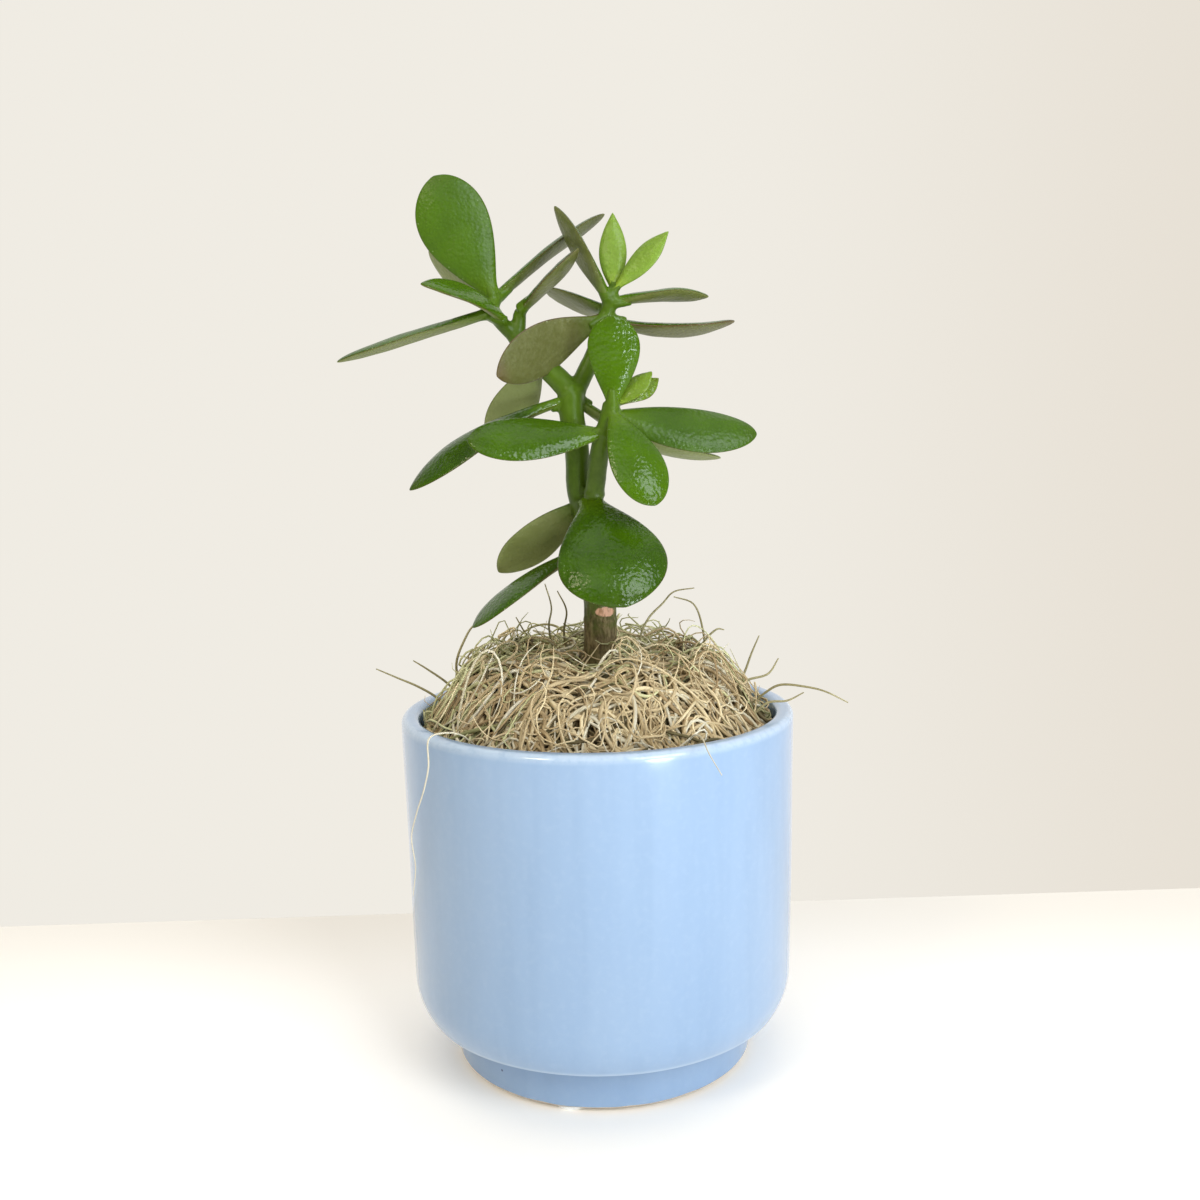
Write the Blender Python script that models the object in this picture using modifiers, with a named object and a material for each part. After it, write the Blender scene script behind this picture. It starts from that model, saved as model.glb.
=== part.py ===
"""A potted jade plant: thick spoon-shaped leaves on forked green stems, in a light blue glazed
pot with a stepped foot, its soil dressed with curly moss.

Units are metres and +Z is up. The origin is on the pot's axis, in the plane of the pads' undersides.
"""
import math
import random

import bmesh
import bpy
from mathutils import Vector, noise

MM = 0.001

# Pads under the foot
PAD_COUNT = 3
PAD_DIAMETER = 9 * MM
PAD_THICKNESS = 1.2 * MM
PAD_CIRCLE = 44.5 * MM
PAD_FIRST_ANGLE = 256

# Gap left between pieces that touch
SEAT = 0.3 * MM

# Pot
FOOT_Z = PAD_THICKNESS + SEAT
POT_HEIGHT = 116 * MM
RIM_RADIUS = 65 * MM
RIM_INNER_RADIUS = 59 * MM
RIM_ROUNDING = 2.2 * MM
WALL_FOOT_RADIUS = 63.8 * MM
SHOULDER_HEIGHT = 28 * MM
SHOULDER_FILLET = 21 * MM
SHOULDER_TURN = 34
FOOT_HEIGHT = 16 * MM
FOOT_TOP_RADIUS = 50.5 * MM
FOOT_RADIUS = 50 * MM
FOOT_RECESS_RADIUS = 38 * MM
FOOT_RECESS_DEPTH = 4 * MM
FLOOR_HEIGHT = 22 * MM
FLOOR_RADIUS = 44 * MM
POT_STEPS = 44

# Soil
SOIL_TOP = 106 * MM
SOIL_CROWN = 3 * MM
STEM_HOLE_RADIUS = 6.2 * MM

# Moss: a mat heaped highest at the back left, sunk a little under the surface the strands lie along
MAT_EDGE_RADIUS = 56 * MM
MAT_EDGE_HEIGHT = 113 * MM
MAT_TOP_RADIUS = 34 * MM
MAT_TOP_HEIGHT = 132.5 * MM
MAT_LEAN = (-0.035, 0.06)
MAT_HOLE_RADIUS = 6.4 * MM
STRAND_RADIUS = 0.7 * MM
STRAND_COUNT = 74
STRAND_POINTS = 6
STRAND_SEED = 5
ROOT_DEPTH = 5 * MM
MAT_SINK = 2.6 * MM
MAT_LUMPS = 4.5 * MM

# Stems: the path of each, as (x, y, z, radius) in millimetres
TRUNK = [(1.0, 0, 70, 5.2), (1.3, 0, 131, 5.5), (1.6, 0, 152, 5.4), (0.6, 0, 167, 5.2),
         (-1.4, -1, 181, 5.0), (-2.0, -2, 187, 4.6)]
LEFT_STEM = [(-1.4, -1, 180, 4.0), (-4.6, 0, 189, 3.9), (-4.9, 0, 203, 4.1), (-6.4, 0, 215, 4.1),
             (-6.1, 0, 224, 4.4)]
RIGHT_STEM = [(-1.0, -2, 181, 3.6), (0.6, -6, 190, 3.3), (2.6, -10, 203, 3.1), (5.2, -12, 213, 2.7),
              (6.6, -12, 217, 3.1)]
UPPER_LEFT_STEM = [(-6.2, 0, 221, 3.8), (-9.9, 1, 225.5, 3.8), (-13.4, 2, 229, 3.6),
                   (-19.2, 4, 235, 3.3), (-24.3, 5, 240.5, 3.2)]
LEFT_TWIG = [(-23.4, 5, 239, 2.5), (-29.0, 4, 245, 2.4), (-31.6, 4, 248.6, 2.5), (-30.9, 6, 252, 2.6),
             (-30.6, 7, 254, 2.2)]
SHORT_TWIG = [(-24.2, 5, 239, 2.6), (-23.1, 5, 243, 2.4), (-22.9, 6, 248, 2.5), (-22.9, 6, 250, 2.2)]
UPPER_RIGHT_STEM = [(-6.2, 0, 221, 3.6), (-3.8, 2, 224, 3.2), (0, 4, 231.5, 2.9), (3.6, 4, 240, 2.6),
                    (5.9, 3, 247, 2.6), (7.2, 2, 251.5, 2.5), (7.9, 2, 254, 2.0)]

# Leaves: where each is rooted, where its tip is, and which way its upper face looks.
# Places, width and thickness are in millimetres. Peak is where along the leaf it is widest,
# and round is how blunt its tip is, from 0.5 for a spoon to 1 for a lance.
LEAVES = {
    "leaf_crown_left_upright": dict(root=(-31.8, 4, 254), tip=(-49.2, 6, 291.2), face=(0, -1, 0.1),
                                    width=23.5, peak=0.64, round=0.52, sweep=0.02),
    "leaf_crown_left_back": dict(root=(-32.5, 8, 253.5), tip=(-53.5, 22, 270), face=(0.5, 0.6, 0.6),
                                 width=18),
    "leaf_crown_left_small": dict(root=(-25.4, 1.6, 246.6), tip=(-52, -12, 255.5), face=(0, -0.5, 0.87),
                                  width=15, peak=0.6, round=0.7, arch=0.11),
    "leaf_crown_left_long": dict(root=(-32, 2.6, 247.8), tip=(-80.6, -5, 232.6), face=(0, 0.02, 1),
                                 width=17, peak=0.6, arch=0.005),
    "leaf_crown_left_rear": dict(root=(-29.4, 8, 252.6), tip=(5.6, 18.5, 280.4), face=(-0.62, 0.06, 0.78),
                                 width=14.5, arch=0.025),
    "leaf_crown_left_inner": dict(root=(-22.2, 4, 248.6), tip=(-3, -10, 265.6), face=(-0.6, 0.1, 0.8),
                                  width=14, arch=-0.02, round=0.7),
    "leaf_crown_right_steep": dict(root=(6.0, 0.6, 250.8), tip=(-10.2, 2, 280.4), face=(0.8, 0.3, 0.5),
                                   width=14.5, peak=0.56, round=0.75),
    "leaf_bud_upright": dict(root=(7.9, 4, 254.5), tip=(8.3, 7, 278.8), face=(0, -1, 0), width=9,
                             thick=2.4, peak=0.48, round=0.85),
    "leaf_bud_right": dict(root=(9.2, 0.6, 254.2), tip=(25.5, -4, 270.9), face=(-0.35, -0.9, 0.3),
                           width=8.5, thick=2.4, peak=0.55, round=0.85),
    "leaf_crown_right_flat": dict(root=(8.8, 1.4, 249.8), tip=(38.6, 3, 251.4), face=(0, 0.15, 1),
                                  width=13, arch=0.045, round=0.75),
    "leaf_crown_right_low": dict(root=(7.2, 3.4, 244.2), tip=(47.2, 5, 243.6), face=(0, 0.12, 1),
                                 width=17, arch=-0.07, round=0.65),
    "leaf_crown_right_back": dict(root=(5.6, 4.6, 248), tip=(-13.6, 25, 255.4), face=(0.2, 0.45, 1),
                                  width=17.5),
    "leaf_crown_front_turned": dict(root=(4, 2, 245), tip=(-29.1, -14, 226.8), face=(-0.35, 0.85, 0.4),
                                    width=18, arch=0.05, round=0.6),
    "leaf_middle_rear_turned": dict(root=(-15.8, 5, 233.2), tip=(-33.4, 18, 205.6), face=(-0.35, 0.85, 0.3),
                                    width=16.5, round=0.55),
    "leaf_middle_left_long": dict(root=(-9, 0, 219.4), tip=(-58.7, -8, 191.5), face=(-0.35, -0.5, 0.75),
                                  width=15, peak=0.68, arch=0.07, round=0.7),
    "leaf_middle_left_broad": dict(root=(4, -11.5, 208.3), tip=(-38.1, -22, 206.6), face=(0, -0.8, 0.6),
                                   width=17, peak=0.62, round=0.5),
    "leaf_middle_right_rear": dict(root=(-4.6, 2.4, 219.6), tip=(43, 12, 199.2), face=(0.3, 0.32, 1),
                                   width=14, arch=-0.08),
    "leaf_middle_upright": dict(root=(6.8, -13.4, 216.2), tip=(7.2, -15, 244.4), face=(0, -1, 0.05),
                                width=16.5, peak=0.66, round=0.5, sweep=-0.02),
    "leaf_young_front": dict(root=(8, -11, 217.2), tip=(19.4, -9, 227.1), face=(-0.45, -0.8, 0.4),
                             width=8, thick=2, peak=0.55, round=0.75),
    "leaf_young_back": dict(root=(8.8, -8.4, 216.4), tip=(21.8, -3, 225.3), face=(-0.3, -0.9, 0.4),
                            width=8, thick=2, peak=0.6, round=0.8),
    "leaf_middle_right_broad": dict(root=(7.8, -11.4, 213.6), tip=(52.9, -6, 207),
                                    face=(0, -0.85, 0.55), width=16.5, peak=0.57, round=0.5, sweep=-0.03),
    "leaf_front_hanging": dict(root=(7, -13.8, 214.4), tip=(19.3, -27, 186.2), face=(0.25, -0.9, 0.35),
                               width=17.5, peak=0.62, round=0.5, arch=0.04),
    "leaf_low_front": dict(root=(-0.9, -4.6, 187), tip=(9.4, -34, 155.8), face=(0.05, -0.8, 0.6),
                           width=34.5, thick=4, peak=0.6, round=0.5, arch=0.1, cup=0.12),
    "leaf_low_left_rear": dict(root=(-4, 2, 185.6), tip=(-32.4, 10, 162.4), face=(-0.4, 0.8, 0.4),
                               width=17, peak=0.58, round=0.6),
    "leaf_low_left": dict(root=(-1, -0.6, 170.6), tip=(-39.6, -12, 147), face=(-0.35, -0.2, 0.9),
                          width=17, peak=0.68, round=0.65, arch=0.06),
}
LEAF_THICKNESS = 3.4
LEAF_PEAK = 0.62
LEAF_ROUND = 0.6
LEAF_STALK = 0.24
LEAF_SIDES = 12
LEAF_RINGS = 9

# Leaves whose stalks share a joint on the stem: the first is cut clear of those after it
CLASPED = {
    "leaf_bud_right": ["leaf_bud_upright"],
    "leaf_crown_right_steep": ["leaf_bud_upright", "leaf_bud_right"],
    "leaf_crown_right_flat": ["leaf_bud_right", "leaf_bud_upright"],
    "leaf_crown_right_back": ["leaf_crown_right_steep", "leaf_crown_front_turned"],
    "leaf_crown_right_low": ["leaf_crown_front_turned"],
    "leaf_crown_left_back": ["leaf_crown_left_upright"],
    "leaf_crown_left_rear": ["leaf_crown_left_upright", "leaf_crown_left_back"],
    "leaf_crown_left_long": ["leaf_crown_left_upright"],
    "leaf_crown_left_small": ["leaf_crown_left_inner"],
    "leaf_young_front": ["leaf_middle_upright"],
    "leaf_young_back": ["leaf_middle_upright", "leaf_young_front"],
    "leaf_middle_right_broad": ["leaf_young_front", "leaf_young_back", "leaf_middle_upright"],
    "leaf_front_hanging": ["leaf_middle_upright", "leaf_middle_right_broad", "leaf_young_front"],
}

# Loose strands that stand out from the moss: each is a list of (x, y, z) in millimetres
LOOSE_STRANDS = {
    "right_long": [(50, -8, 118), (55, -10, 123), (60, -12, 126), (68, -14, 125.5), (74, -15, 124),
                   (81, -16, 120.5)],
    "right_short": [(50, -14, 116), (55, -16, 121), (61, -18, 122), (66, -20, 125)],
    "right_back": [(46, 12, 116), (51, 16, 124), (54, 18, 131), (57, 20, 137)],
    "right_hook": [(46, 2, 118), (50, 4, 124), (58, 6, 126), (62, 8, 131)],
    "left_long": [(-48, 0, 116), (-54, -1, 122), (-60, -2, 126), (-66, -3, 129), (-73, -4, 132.5)],
    "left_back": [(-46, 16, 116), (-52, 16, 123), (-59, 17, 128), (-64, 18, 131)],
    "left_arch": [(-44, 8, 117), (-48, 9, 130), (-44, 8, 141), (-40, 6, 146), (-36, 6, 149)],
    "dark_twig": [(-10, 22, 121), (-17, 22, 130), (-24, 22, 138), (-28, 22, 145)],
    "tall_left": [(-9, 10, 124), (-14, 10, 134), (-16, 10, 143), (-15, 10, 150), (-17, 10, 158)],
    "tall_left_pair": [(-7, 14, 124), (-11, 14, 139), (-10, 14, 148), (-13, 14, 155)],
    "tall_right": [(14, 10, 124), (15, 11, 138), (18, 12, 145), (23, 13, 150), (27, 13, 154), (34, 14, 155)],
    "hooked_right": [(38, 16, 118), (38, 16, 128), (37, 16, 140), (34, 16, 149), (27, 15, 152)],
    "far_right_hook": [(30, 20, 122), (37, 21, 134), (42, 22, 139), (45, 22, 139)],
    "back_loop": [(-4, 34, 120), (-12, 38, 137), (-22, 40, 139), (-30, 38, 133), (-34, 32, 124)],
    "back_loop_right": [(10, 36, 120), (18, 40, 134), (28, 38, 135), (36, 30, 124)],
    "back_over_rim": [(-12, 46, 114), (-13, 53, 121), (-14, 62, 122), (-15, 70, 118)],
    "back_right_tip": [(26, 40, 116), (30, 46, 123), (36, 52, 127), (41, 56, 126)],
    "front_over_rim": [(26, -46, 114), (28, -52, 119.5), (30, -60, 121), (31.5, -66, 118), (35, -68, 112)],
    "left_over_rim": [(-36, -38, 113), (-41, -43, 119), (-46, -48, 121), (-50, -50, 119.5), (-50, -52, 112),
                      (-52, -50.5, 104), (-55, -46, 96), (-57.5, -42, 87), (-56.5, -43, 78), (-58, -40.5, 68)],
}


def start_clean():
    """An empty scene, with one collection for the plant and one for what cuts it."""
    for obj in list(bpy.data.objects):
        bpy.data.objects.remove(obj, do_unlink=True)
    collections = {}
    for name in ("potted_jade_plant", "cutters"):
        collections[name] = bpy.data.collections.new(name)
        bpy.context.scene.collection.children.link(collections[name])
    return collections["potted_jade_plant"], collections["cutters"]


def material(name, color, roughness, metallic=0.0):
    mat = bpy.data.materials.new(name)
    mat.use_nodes = True
    shader = mat.node_tree.nodes["Principled BSDF"]
    shader.inputs["Base Color"].default_value = (*color, 1)
    shader.inputs["Roughness"].default_value = roughness
    shader.inputs["Metallic"].default_value = metallic
    return mat


def add_object(name, mesh, collection, mat=None):
    obj = bpy.data.objects.new(name, mesh)
    collection.objects.link(obj)
    if mat:
        mesh.materials.clear()
        mesh.materials.append(mat)
    return obj


def mesh_from(bm, name):
    mesh = bpy.data.meshes.new(name)
    bm.to_mesh(mesh)
    bm.free()
    mesh.shade_smooth()
    mesh.set_sharp_from_angle(angle=math.radians(40))
    return mesh


def turned(name, profile, collection, mat=None, steps=POT_STEPS):
    """A solid of revolution: the profile runs down its outer side and is closed at the axis."""
    mesh = bpy.data.meshes.new(name)
    points = [(r, 0, z) for r, z in profile]
    edges = [(i, i + 1) for i in range(len(points) - 1)]
    mesh.from_pydata(points, edges, [])
    obj = add_object(name, mesh, collection, mat)
    screw = obj.modifiers.new("turn", "SCREW")
    screw.steps = steps
    screw.render_steps = steps
    screw.use_merge_vertices = True
    screw.merge_threshold = 0.00001
    return obj


def arc(center_r, center_z, radius, start, end, count):
    """Points of an arc in the profile plane, from one angle to another in degrees."""
    for i in range(count + 1):
        angle = math.radians(start + (end - start) * i / count)
        yield center_r + radius * math.cos(angle), center_z + radius * math.sin(angle)


def drop_folded_faces(bm):
    """Pairs of faces that merging has laid back to back on the same points are removed."""
    bmesh.ops.triangulate(bm, faces=bm.faces)
    by_corners = {}
    for face in bm.faces:
        by_corners.setdefault(frozenset(face.verts), []).append(face)
    folded = [face for faces in by_corners.values() if len(faces) > 1 for face in faces]
    bmesh.ops.delete(bm, geom=folded, context="FACES")


def apply_modifiers(obj):
    """The object's evaluated shape becomes its mesh, and doubled points are merged."""
    graph = bpy.context.evaluated_depsgraph_get()
    mesh = bpy.data.meshes.new_from_object(obj.evaluated_get(graph))
    obj.modifiers.clear()
    bm = bmesh.new()
    bm.from_mesh(mesh)
    bmesh.ops.remove_doubles(bm, verts=bm.verts, dist=0.000002)
    drop_folded_faces(bm)
    bm.to_mesh(mesh)
    bm.free()
    obj.data = mesh


def tube(name, path, radii, collection):
    """A closed tube along a path: a curve with a bevel, made a mesh so that it can be joined."""
    curve = bpy.data.curves.new(name, "CURVE")
    curve.dimensions = "3D"
    curve.bevel_depth = 1.0
    curve.bevel_resolution = 2
    curve.use_fill_caps = True
    spline = curve.splines.new("POLY")
    spline.points.add(len(path) - 1)
    for point, place, radius in zip(spline.points, path, radii):
        point.co = (*place, 1)
        point.radius = radius
    guide = bpy.data.objects.new(name + "_guide", curve)
    collection.objects.link(guide)
    graph = bpy.context.evaluated_depsgraph_get()
    mesh = bpy.data.meshes.new_from_object(guide.evaluated_get(graph))
    bm = bmesh.new()
    bm.from_mesh(mesh)
    bmesh.ops.remove_doubles(bm, verts=bm.verts, dist=0.000001)
    bmesh.ops.recalc_face_normals(bm, faces=bm.faces)
    bm.to_mesh(mesh)
    bm.free()
    obj = add_object(name, mesh, collection)
    obj.matrix_world = guide.matrix_world.copy()
    bpy.data.objects.remove(guide, do_unlink=True)
    return obj


def join_all(name, target, pieces, solver="EXACT"):
    """One Boolean union of the target with every piece, which are then removed."""
    group = bpy.data.collections.new(name + "_pieces")
    bpy.context.scene.collection.children.link(group)
    for piece in pieces:
        for owner in list(piece.users_collection):
            owner.objects.unlink(piece)
        group.objects.link(piece)
    union = target.modifiers.new("join", "BOOLEAN")
    union.operation = "UNION"
    union.operand_type = "COLLECTION"
    union.collection = group
    union.solver = solver
    apply_modifiers(target)
    for piece in pieces:
        bpy.data.objects.remove(piece, do_unlink=True)
    bpy.data.collections.remove(group)


def cut(obj, cutter):
    difference = obj.modifiers.new("cut", "BOOLEAN")
    difference.operation = "DIFFERENCE"
    difference.object = cutter
    apply_modifiers(obj)


def keep_largest(obj):
    """Only the largest connected body of the mesh stays."""
    bm = bmesh.new()
    bm.from_mesh(obj.data)
    unseen = set(bm.verts)
    bodies = []
    while unseen:
        front = [unseen.pop()]
        body = list(front)
        while front:
            vert = front.pop()
            for edge in vert.link_edges:
                other = edge.other_vert(vert)
                if other in unseen:
                    unseen.remove(other)
                    body.append(other)
                    front.append(other)
        bodies.append(body)
    bodies.sort(key=len)
    loose = [vert for body in bodies[:-1] for vert in body]
    bmesh.ops.delete(bm, geom=loose, context="VERTS")
    bm.to_mesh(obj.data)
    bm.free()


def hide_as_guide(obj):
    obj.hide_render = True
    obj.display_type = "WIRE"


def make_pot(collection):
    """Glazed ceramic, thrown in one piece: straight wall, rounded shoulder, stepped foot."""
    top = FOOT_Z + POT_HEIGHT
    shoulder_z = FOOT_Z + SHOULDER_HEIGHT
    fillet_r = WALL_FOOT_RADIUS - SHOULDER_FILLET
    profile = [(RIM_INNER_RADIUS + RIM_ROUNDING, top)]
    profile += arc(RIM_RADIUS - RIM_ROUNDING, top - RIM_ROUNDING, RIM_ROUNDING, 90, 0, 3)
    profile += arc(fillet_r, shoulder_z, SHOULDER_FILLET, 0, -SHOULDER_TURN, 4)
    profile += [(FOOT_TOP_RADIUS, FOOT_Z + FOOT_HEIGHT), (FOOT_RADIUS, FOOT_Z + 1 * MM)]
    profile += [(FOOT_RADIUS - 1 * MM, FOOT_Z), (FOOT_RECESS_RADIUS, FOOT_Z)]
    profile += [(FOOT_RECESS_RADIUS - 1.5 * MM, FOOT_Z + FOOT_RECESS_DEPTH)]
    profile += [(0, FOOT_Z + FOOT_RECESS_DEPTH)]
    floor_z = FOOT_Z + FLOOR_HEIGHT
    inner = [(0, floor_z), (FLOOR_RADIUS, floor_z)]
    inner += arc(FLOOR_RADIUS, floor_z + 12 * MM, 12 * MM, -60, 0, 2)
    inner += arc(RIM_INNER_RADIUS + RIM_ROUNDING, top - RIM_ROUNDING, RIM_ROUNDING, 180, 90, 3)
    pot = turned("pot", profile + inner[:-1] + [profile[0]], collection,
                 material("pale_blue_glaze", (0.36, 0.52, 0.78), 0.12))
    apply_modifiers(pot)
    pot.data.shade_smooth()
    pot.data.set_sharp_from_angle(angle=math.radians(35))
    return pot


def make_pads(collection):
    """Small white pads stuck under the foot ring."""
    for i in range(PAD_COUNT):
        angle = math.radians(PAD_FIRST_ANGLE + 360 * i / PAD_COUNT)
        bm = bmesh.new()
        bmesh.ops.create_cone(bm, cap_ends=True, segments=16, radius1=PAD_DIAMETER / 2,
                              radius2=PAD_DIAMETER / 2 - 0.3 * MM, depth=PAD_THICKNESS)
        place = Vector((math.cos(angle) * PAD_CIRCLE, math.sin(angle) * PAD_CIRCLE, PAD_THICKNESS / 2))
        bmesh.ops.translate(bm, verts=bm.verts, vec=place)
        name = f"foot_pad_{i + 1}"
        add_object(name, mesh_from(bm, name), collection, material("white_pad", (0.85, 0.85, 0.84), 0.5))


def make_soil(collection, cutters):
    """Potting soil filling the pot, with a plain hole where the stem stands."""
    floor_z = FOOT_Z + FLOOR_HEIGHT + SEAT
    gap = SEAT * 1.2
    profile = [(0, SOIL_TOP + SOIL_CROWN), (30 * MM, SOIL_TOP + 2 * MM)]
    profile += [(RIM_INNER_RADIUS - gap, SOIL_TOP)]
    profile += [(FLOOR_RADIUS + 11.4 * MM, floor_z + 12 * MM), (FLOOR_RADIUS + 5 * MM, floor_z + 2.4 * MM)]
    profile += [(FLOOR_RADIUS - 1 * MM, floor_z), (0, floor_z)]
    soil = turned("potting_soil", profile, collection, material("dark_soil", (0.05, 0.035, 0.025), 0.95))
    apply_modifiers(soil)
    hole = bmesh.new()
    bmesh.ops.create_cone(hole, cap_ends=True, segments=16, radius1=STEM_HOLE_RADIUS,
                          radius2=STEM_HOLE_RADIUS, depth=60 * MM)
    bottom = (TRUNK[0][2] * MM) - SEAT
    bmesh.ops.translate(hole, verts=hole.verts, vec=(1.1 * MM, 0, bottom + 30 * MM))
    cutter = add_object("stem_hole", mesh_from(hole, "stem_hole"), cutters)
    hide_as_guide(cutter)
    cut(soil, cutter)


def stem_shape(name, grow, collection):
    """The trunk and its forks, joined in one body; grow makes all of it thicker."""
    paths = [TRUNK, LEFT_STEM, RIGHT_STEM, UPPER_LEFT_STEM, LEFT_TWIG, SHORT_TWIG, UPPER_RIGHT_STEM]
    tubes = []
    for i, path in enumerate(paths):
        places = [Vector(point[:3]) * MM for point in path]
        radii = [point[3] * MM + grow for point in path]
        places[-1] += (places[-1] - places[-2]).normalized() * grow
        tubes.append(tube(f"{name}_{i}", places, radii, collection))
    join_all(name, tubes[0], tubes[1:])
    tubes[0].name = name
    tubes[0].data.shade_smooth()
    tubes[0].data.set_sharp_from_angle(angle=math.radians(50))
    return tubes[0]


def leaf_mesh(name, leaf, grow=0.0):
    """A thick spoon-shaped blade on a short stalk, shaped from a sphere along its own axis."""
    root = Vector(leaf["root"]) * MM
    tip = Vector(leaf["tip"]) * MM
    length = (tip - root).length
    axis = (tip - root).normalized()
    face = Vector(leaf["face"])
    face = (face - axis * face.dot(axis)).normalized()
    side = face.cross(axis)
    half_width = leaf["width"] * MM / 2
    half_thick = leaf.get("thick", LEAF_THICKNESS) * MM / 2
    bend = math.log(0.5) / math.log(leaf.get("peak", LEAF_PEAK))
    blunt = leaf.get("round", LEAF_ROUND)
    arch = leaf.get("arch", 0.0) * length
    sweep = leaf.get("sweep", 0.0) * length
    cup = leaf.get("cup", 0.05) * half_width
    bm = bmesh.new()
    bmesh.ops.create_uvsphere(bm, u_segments=LEAF_SIDES, v_segments=LEAF_RINGS, radius=1)
    for vert in bm.verts:
        along = (vert.co.z + 1) / 2
        ring = math.hypot(vert.co.x, vert.co.y)
        across = vert.co.x / ring if ring > 1e-6 else 0
        through = vert.co.y / ring if ring > 1e-6 else 0
        blade = math.sin(math.pi * along ** bend) ** blunt if 0 < along < 1 else 0
        stalk = LEAF_STALK * (1 - along) if ring > 1e-6 else 0
        width = half_width * (blade ** 3 + stalk ** 3) ** (1 / 3) + grow
        thick = half_thick * math.sqrt(max(0, 1 - along ** 5)) + grow
        if ring <= 1e-6:
            width = 0
            thick = 0
        bow = 4 * along * (1 - along)
        lift = through * thick + arch * bow - cup * (across * width / half_width) ** 2
        vert.co = root + axis * (length * along) + side * (across * width + sweep * bow) + face * lift
    if grow:
        tips = [v for v in bm.verts if (v.co - tip).length < 0.5 * MM]
        bmesh.ops.translate(bm, verts=tips, vec=axis * grow)
    bmesh.ops.recalc_face_normals(bm, faces=bm.faces)
    return mesh_from(bm, name)


def make_plant(collection, cutters):
    """The forked stem, and each leaf seated against it and clear of the leaves beside it."""
    stem = stem_shape("stem", 0.0, collection)
    stem.data.materials.clear()
    stem.data.materials.append(material("green_stem", (0.16, 0.24, 0.05), 0.45))
    clearance = stem_shape("stem_clearance", SEAT, cutters)
    hide_as_guide(clearance)
    green = material("leaf_green", (0.06, 0.17, 0.02), 0.3)
    young = material("young_leaf_green", (0.25, 0.42, 0.07), 0.35)
    for name, leaf in LEAVES.items():
        is_young = "bud" in name or "young" in name
        blade = add_object(name, leaf_mesh(name, leaf), collection, young if is_young else green)
        cut(blade, clearance)
        for other in CLASPED.get(name, []):
            neighbour = add_object(other + "_clearance", leaf_mesh(other, LEAVES[other], SEAT), cutters)
            hide_as_guide(neighbour)
            cut(blade, neighbour)
        keep_largest(blade)


def mat_height(x, y):
    """How high the moss mat is at a place."""
    rise = (MAT_EDGE_RADIUS - math.hypot(x, y)) / (MAT_EDGE_RADIUS - MAT_TOP_RADIUS)
    heaped = math.sin(min(1, max(0, rise)) * math.pi / 2)
    top = MAT_TOP_HEIGHT - MAT_EDGE_HEIGHT + x * MAT_LEAN[0] + y * MAT_LEAN[1]
    return MAT_EDGE_HEIGHT + top * heaped


def strand(name, path, collection):
    """A closed three-sided tube along a path."""
    bm = bmesh.new()
    rings = []
    for i, place in enumerate(path):
        heading = (path[min(i + 1, len(path) - 1)] - path[max(i - 1, 0)]).normalized()
        side = heading.cross(Vector((0.1, 0.2, 1))).normalized()
        up = side.cross(heading)
        corners = [up, side * 0.866 - up * 0.5, side * -0.866 - up * 0.5]
        rings.append([bm.verts.new(place + corner * STRAND_RADIUS) for corner in corners])
    for near, far in zip(rings, rings[1:]):
        for j in range(3):
            bm.faces.new((near[j], near[(j + 1) % 3], far[(j + 1) % 3], far[j]))
    bm.faces.new(rings[0])
    bm.faces.new(rings[-1])
    bmesh.ops.recalc_face_normals(bm, faces=bm.faces)
    return add_object(name, mesh_from(bm, name), collection)


def curly_strand(draw):
    """A strand that springs from the mat, bows over it and dips back in, turning as it goes."""
    radius = MAT_EDGE_RADIUS * math.sqrt(draw.uniform(0.05, 1.0))
    place = draw.uniform(0, 2 * math.pi)
    x, y = radius * math.cos(place), radius * math.sin(place)
    heading = place + math.pi / 2 + draw.uniform(-1.1, 1.1)
    turn = draw.uniform(0.15, 0.5) * draw.choice((-1, 1))
    step = draw.uniform(6, 9) * MM
    bow = draw.uniform(0.2, 6.5) * MM
    count = STRAND_POINTS
    path = []
    for i in range(count):
        reach = math.hypot(x, y)
        inner, outer = MAT_HOLE_RADIUS + 4 * MM, MAT_EDGE_RADIUS + 0.4 * MM
        held = min(outer, max(inner, reach))
        x, y = x * held / reach, y * held / reach
        lift = -ROOT_DEPTH + (bow + ROOT_DEPTH) * math.sin(math.pi * i / (count - 1))
        path.append(Vector((x, y, mat_height(x, y) + lift)))
        x += step * math.cos(heading)
        y += step * math.sin(heading)
        heading += turn
    return path


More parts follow.
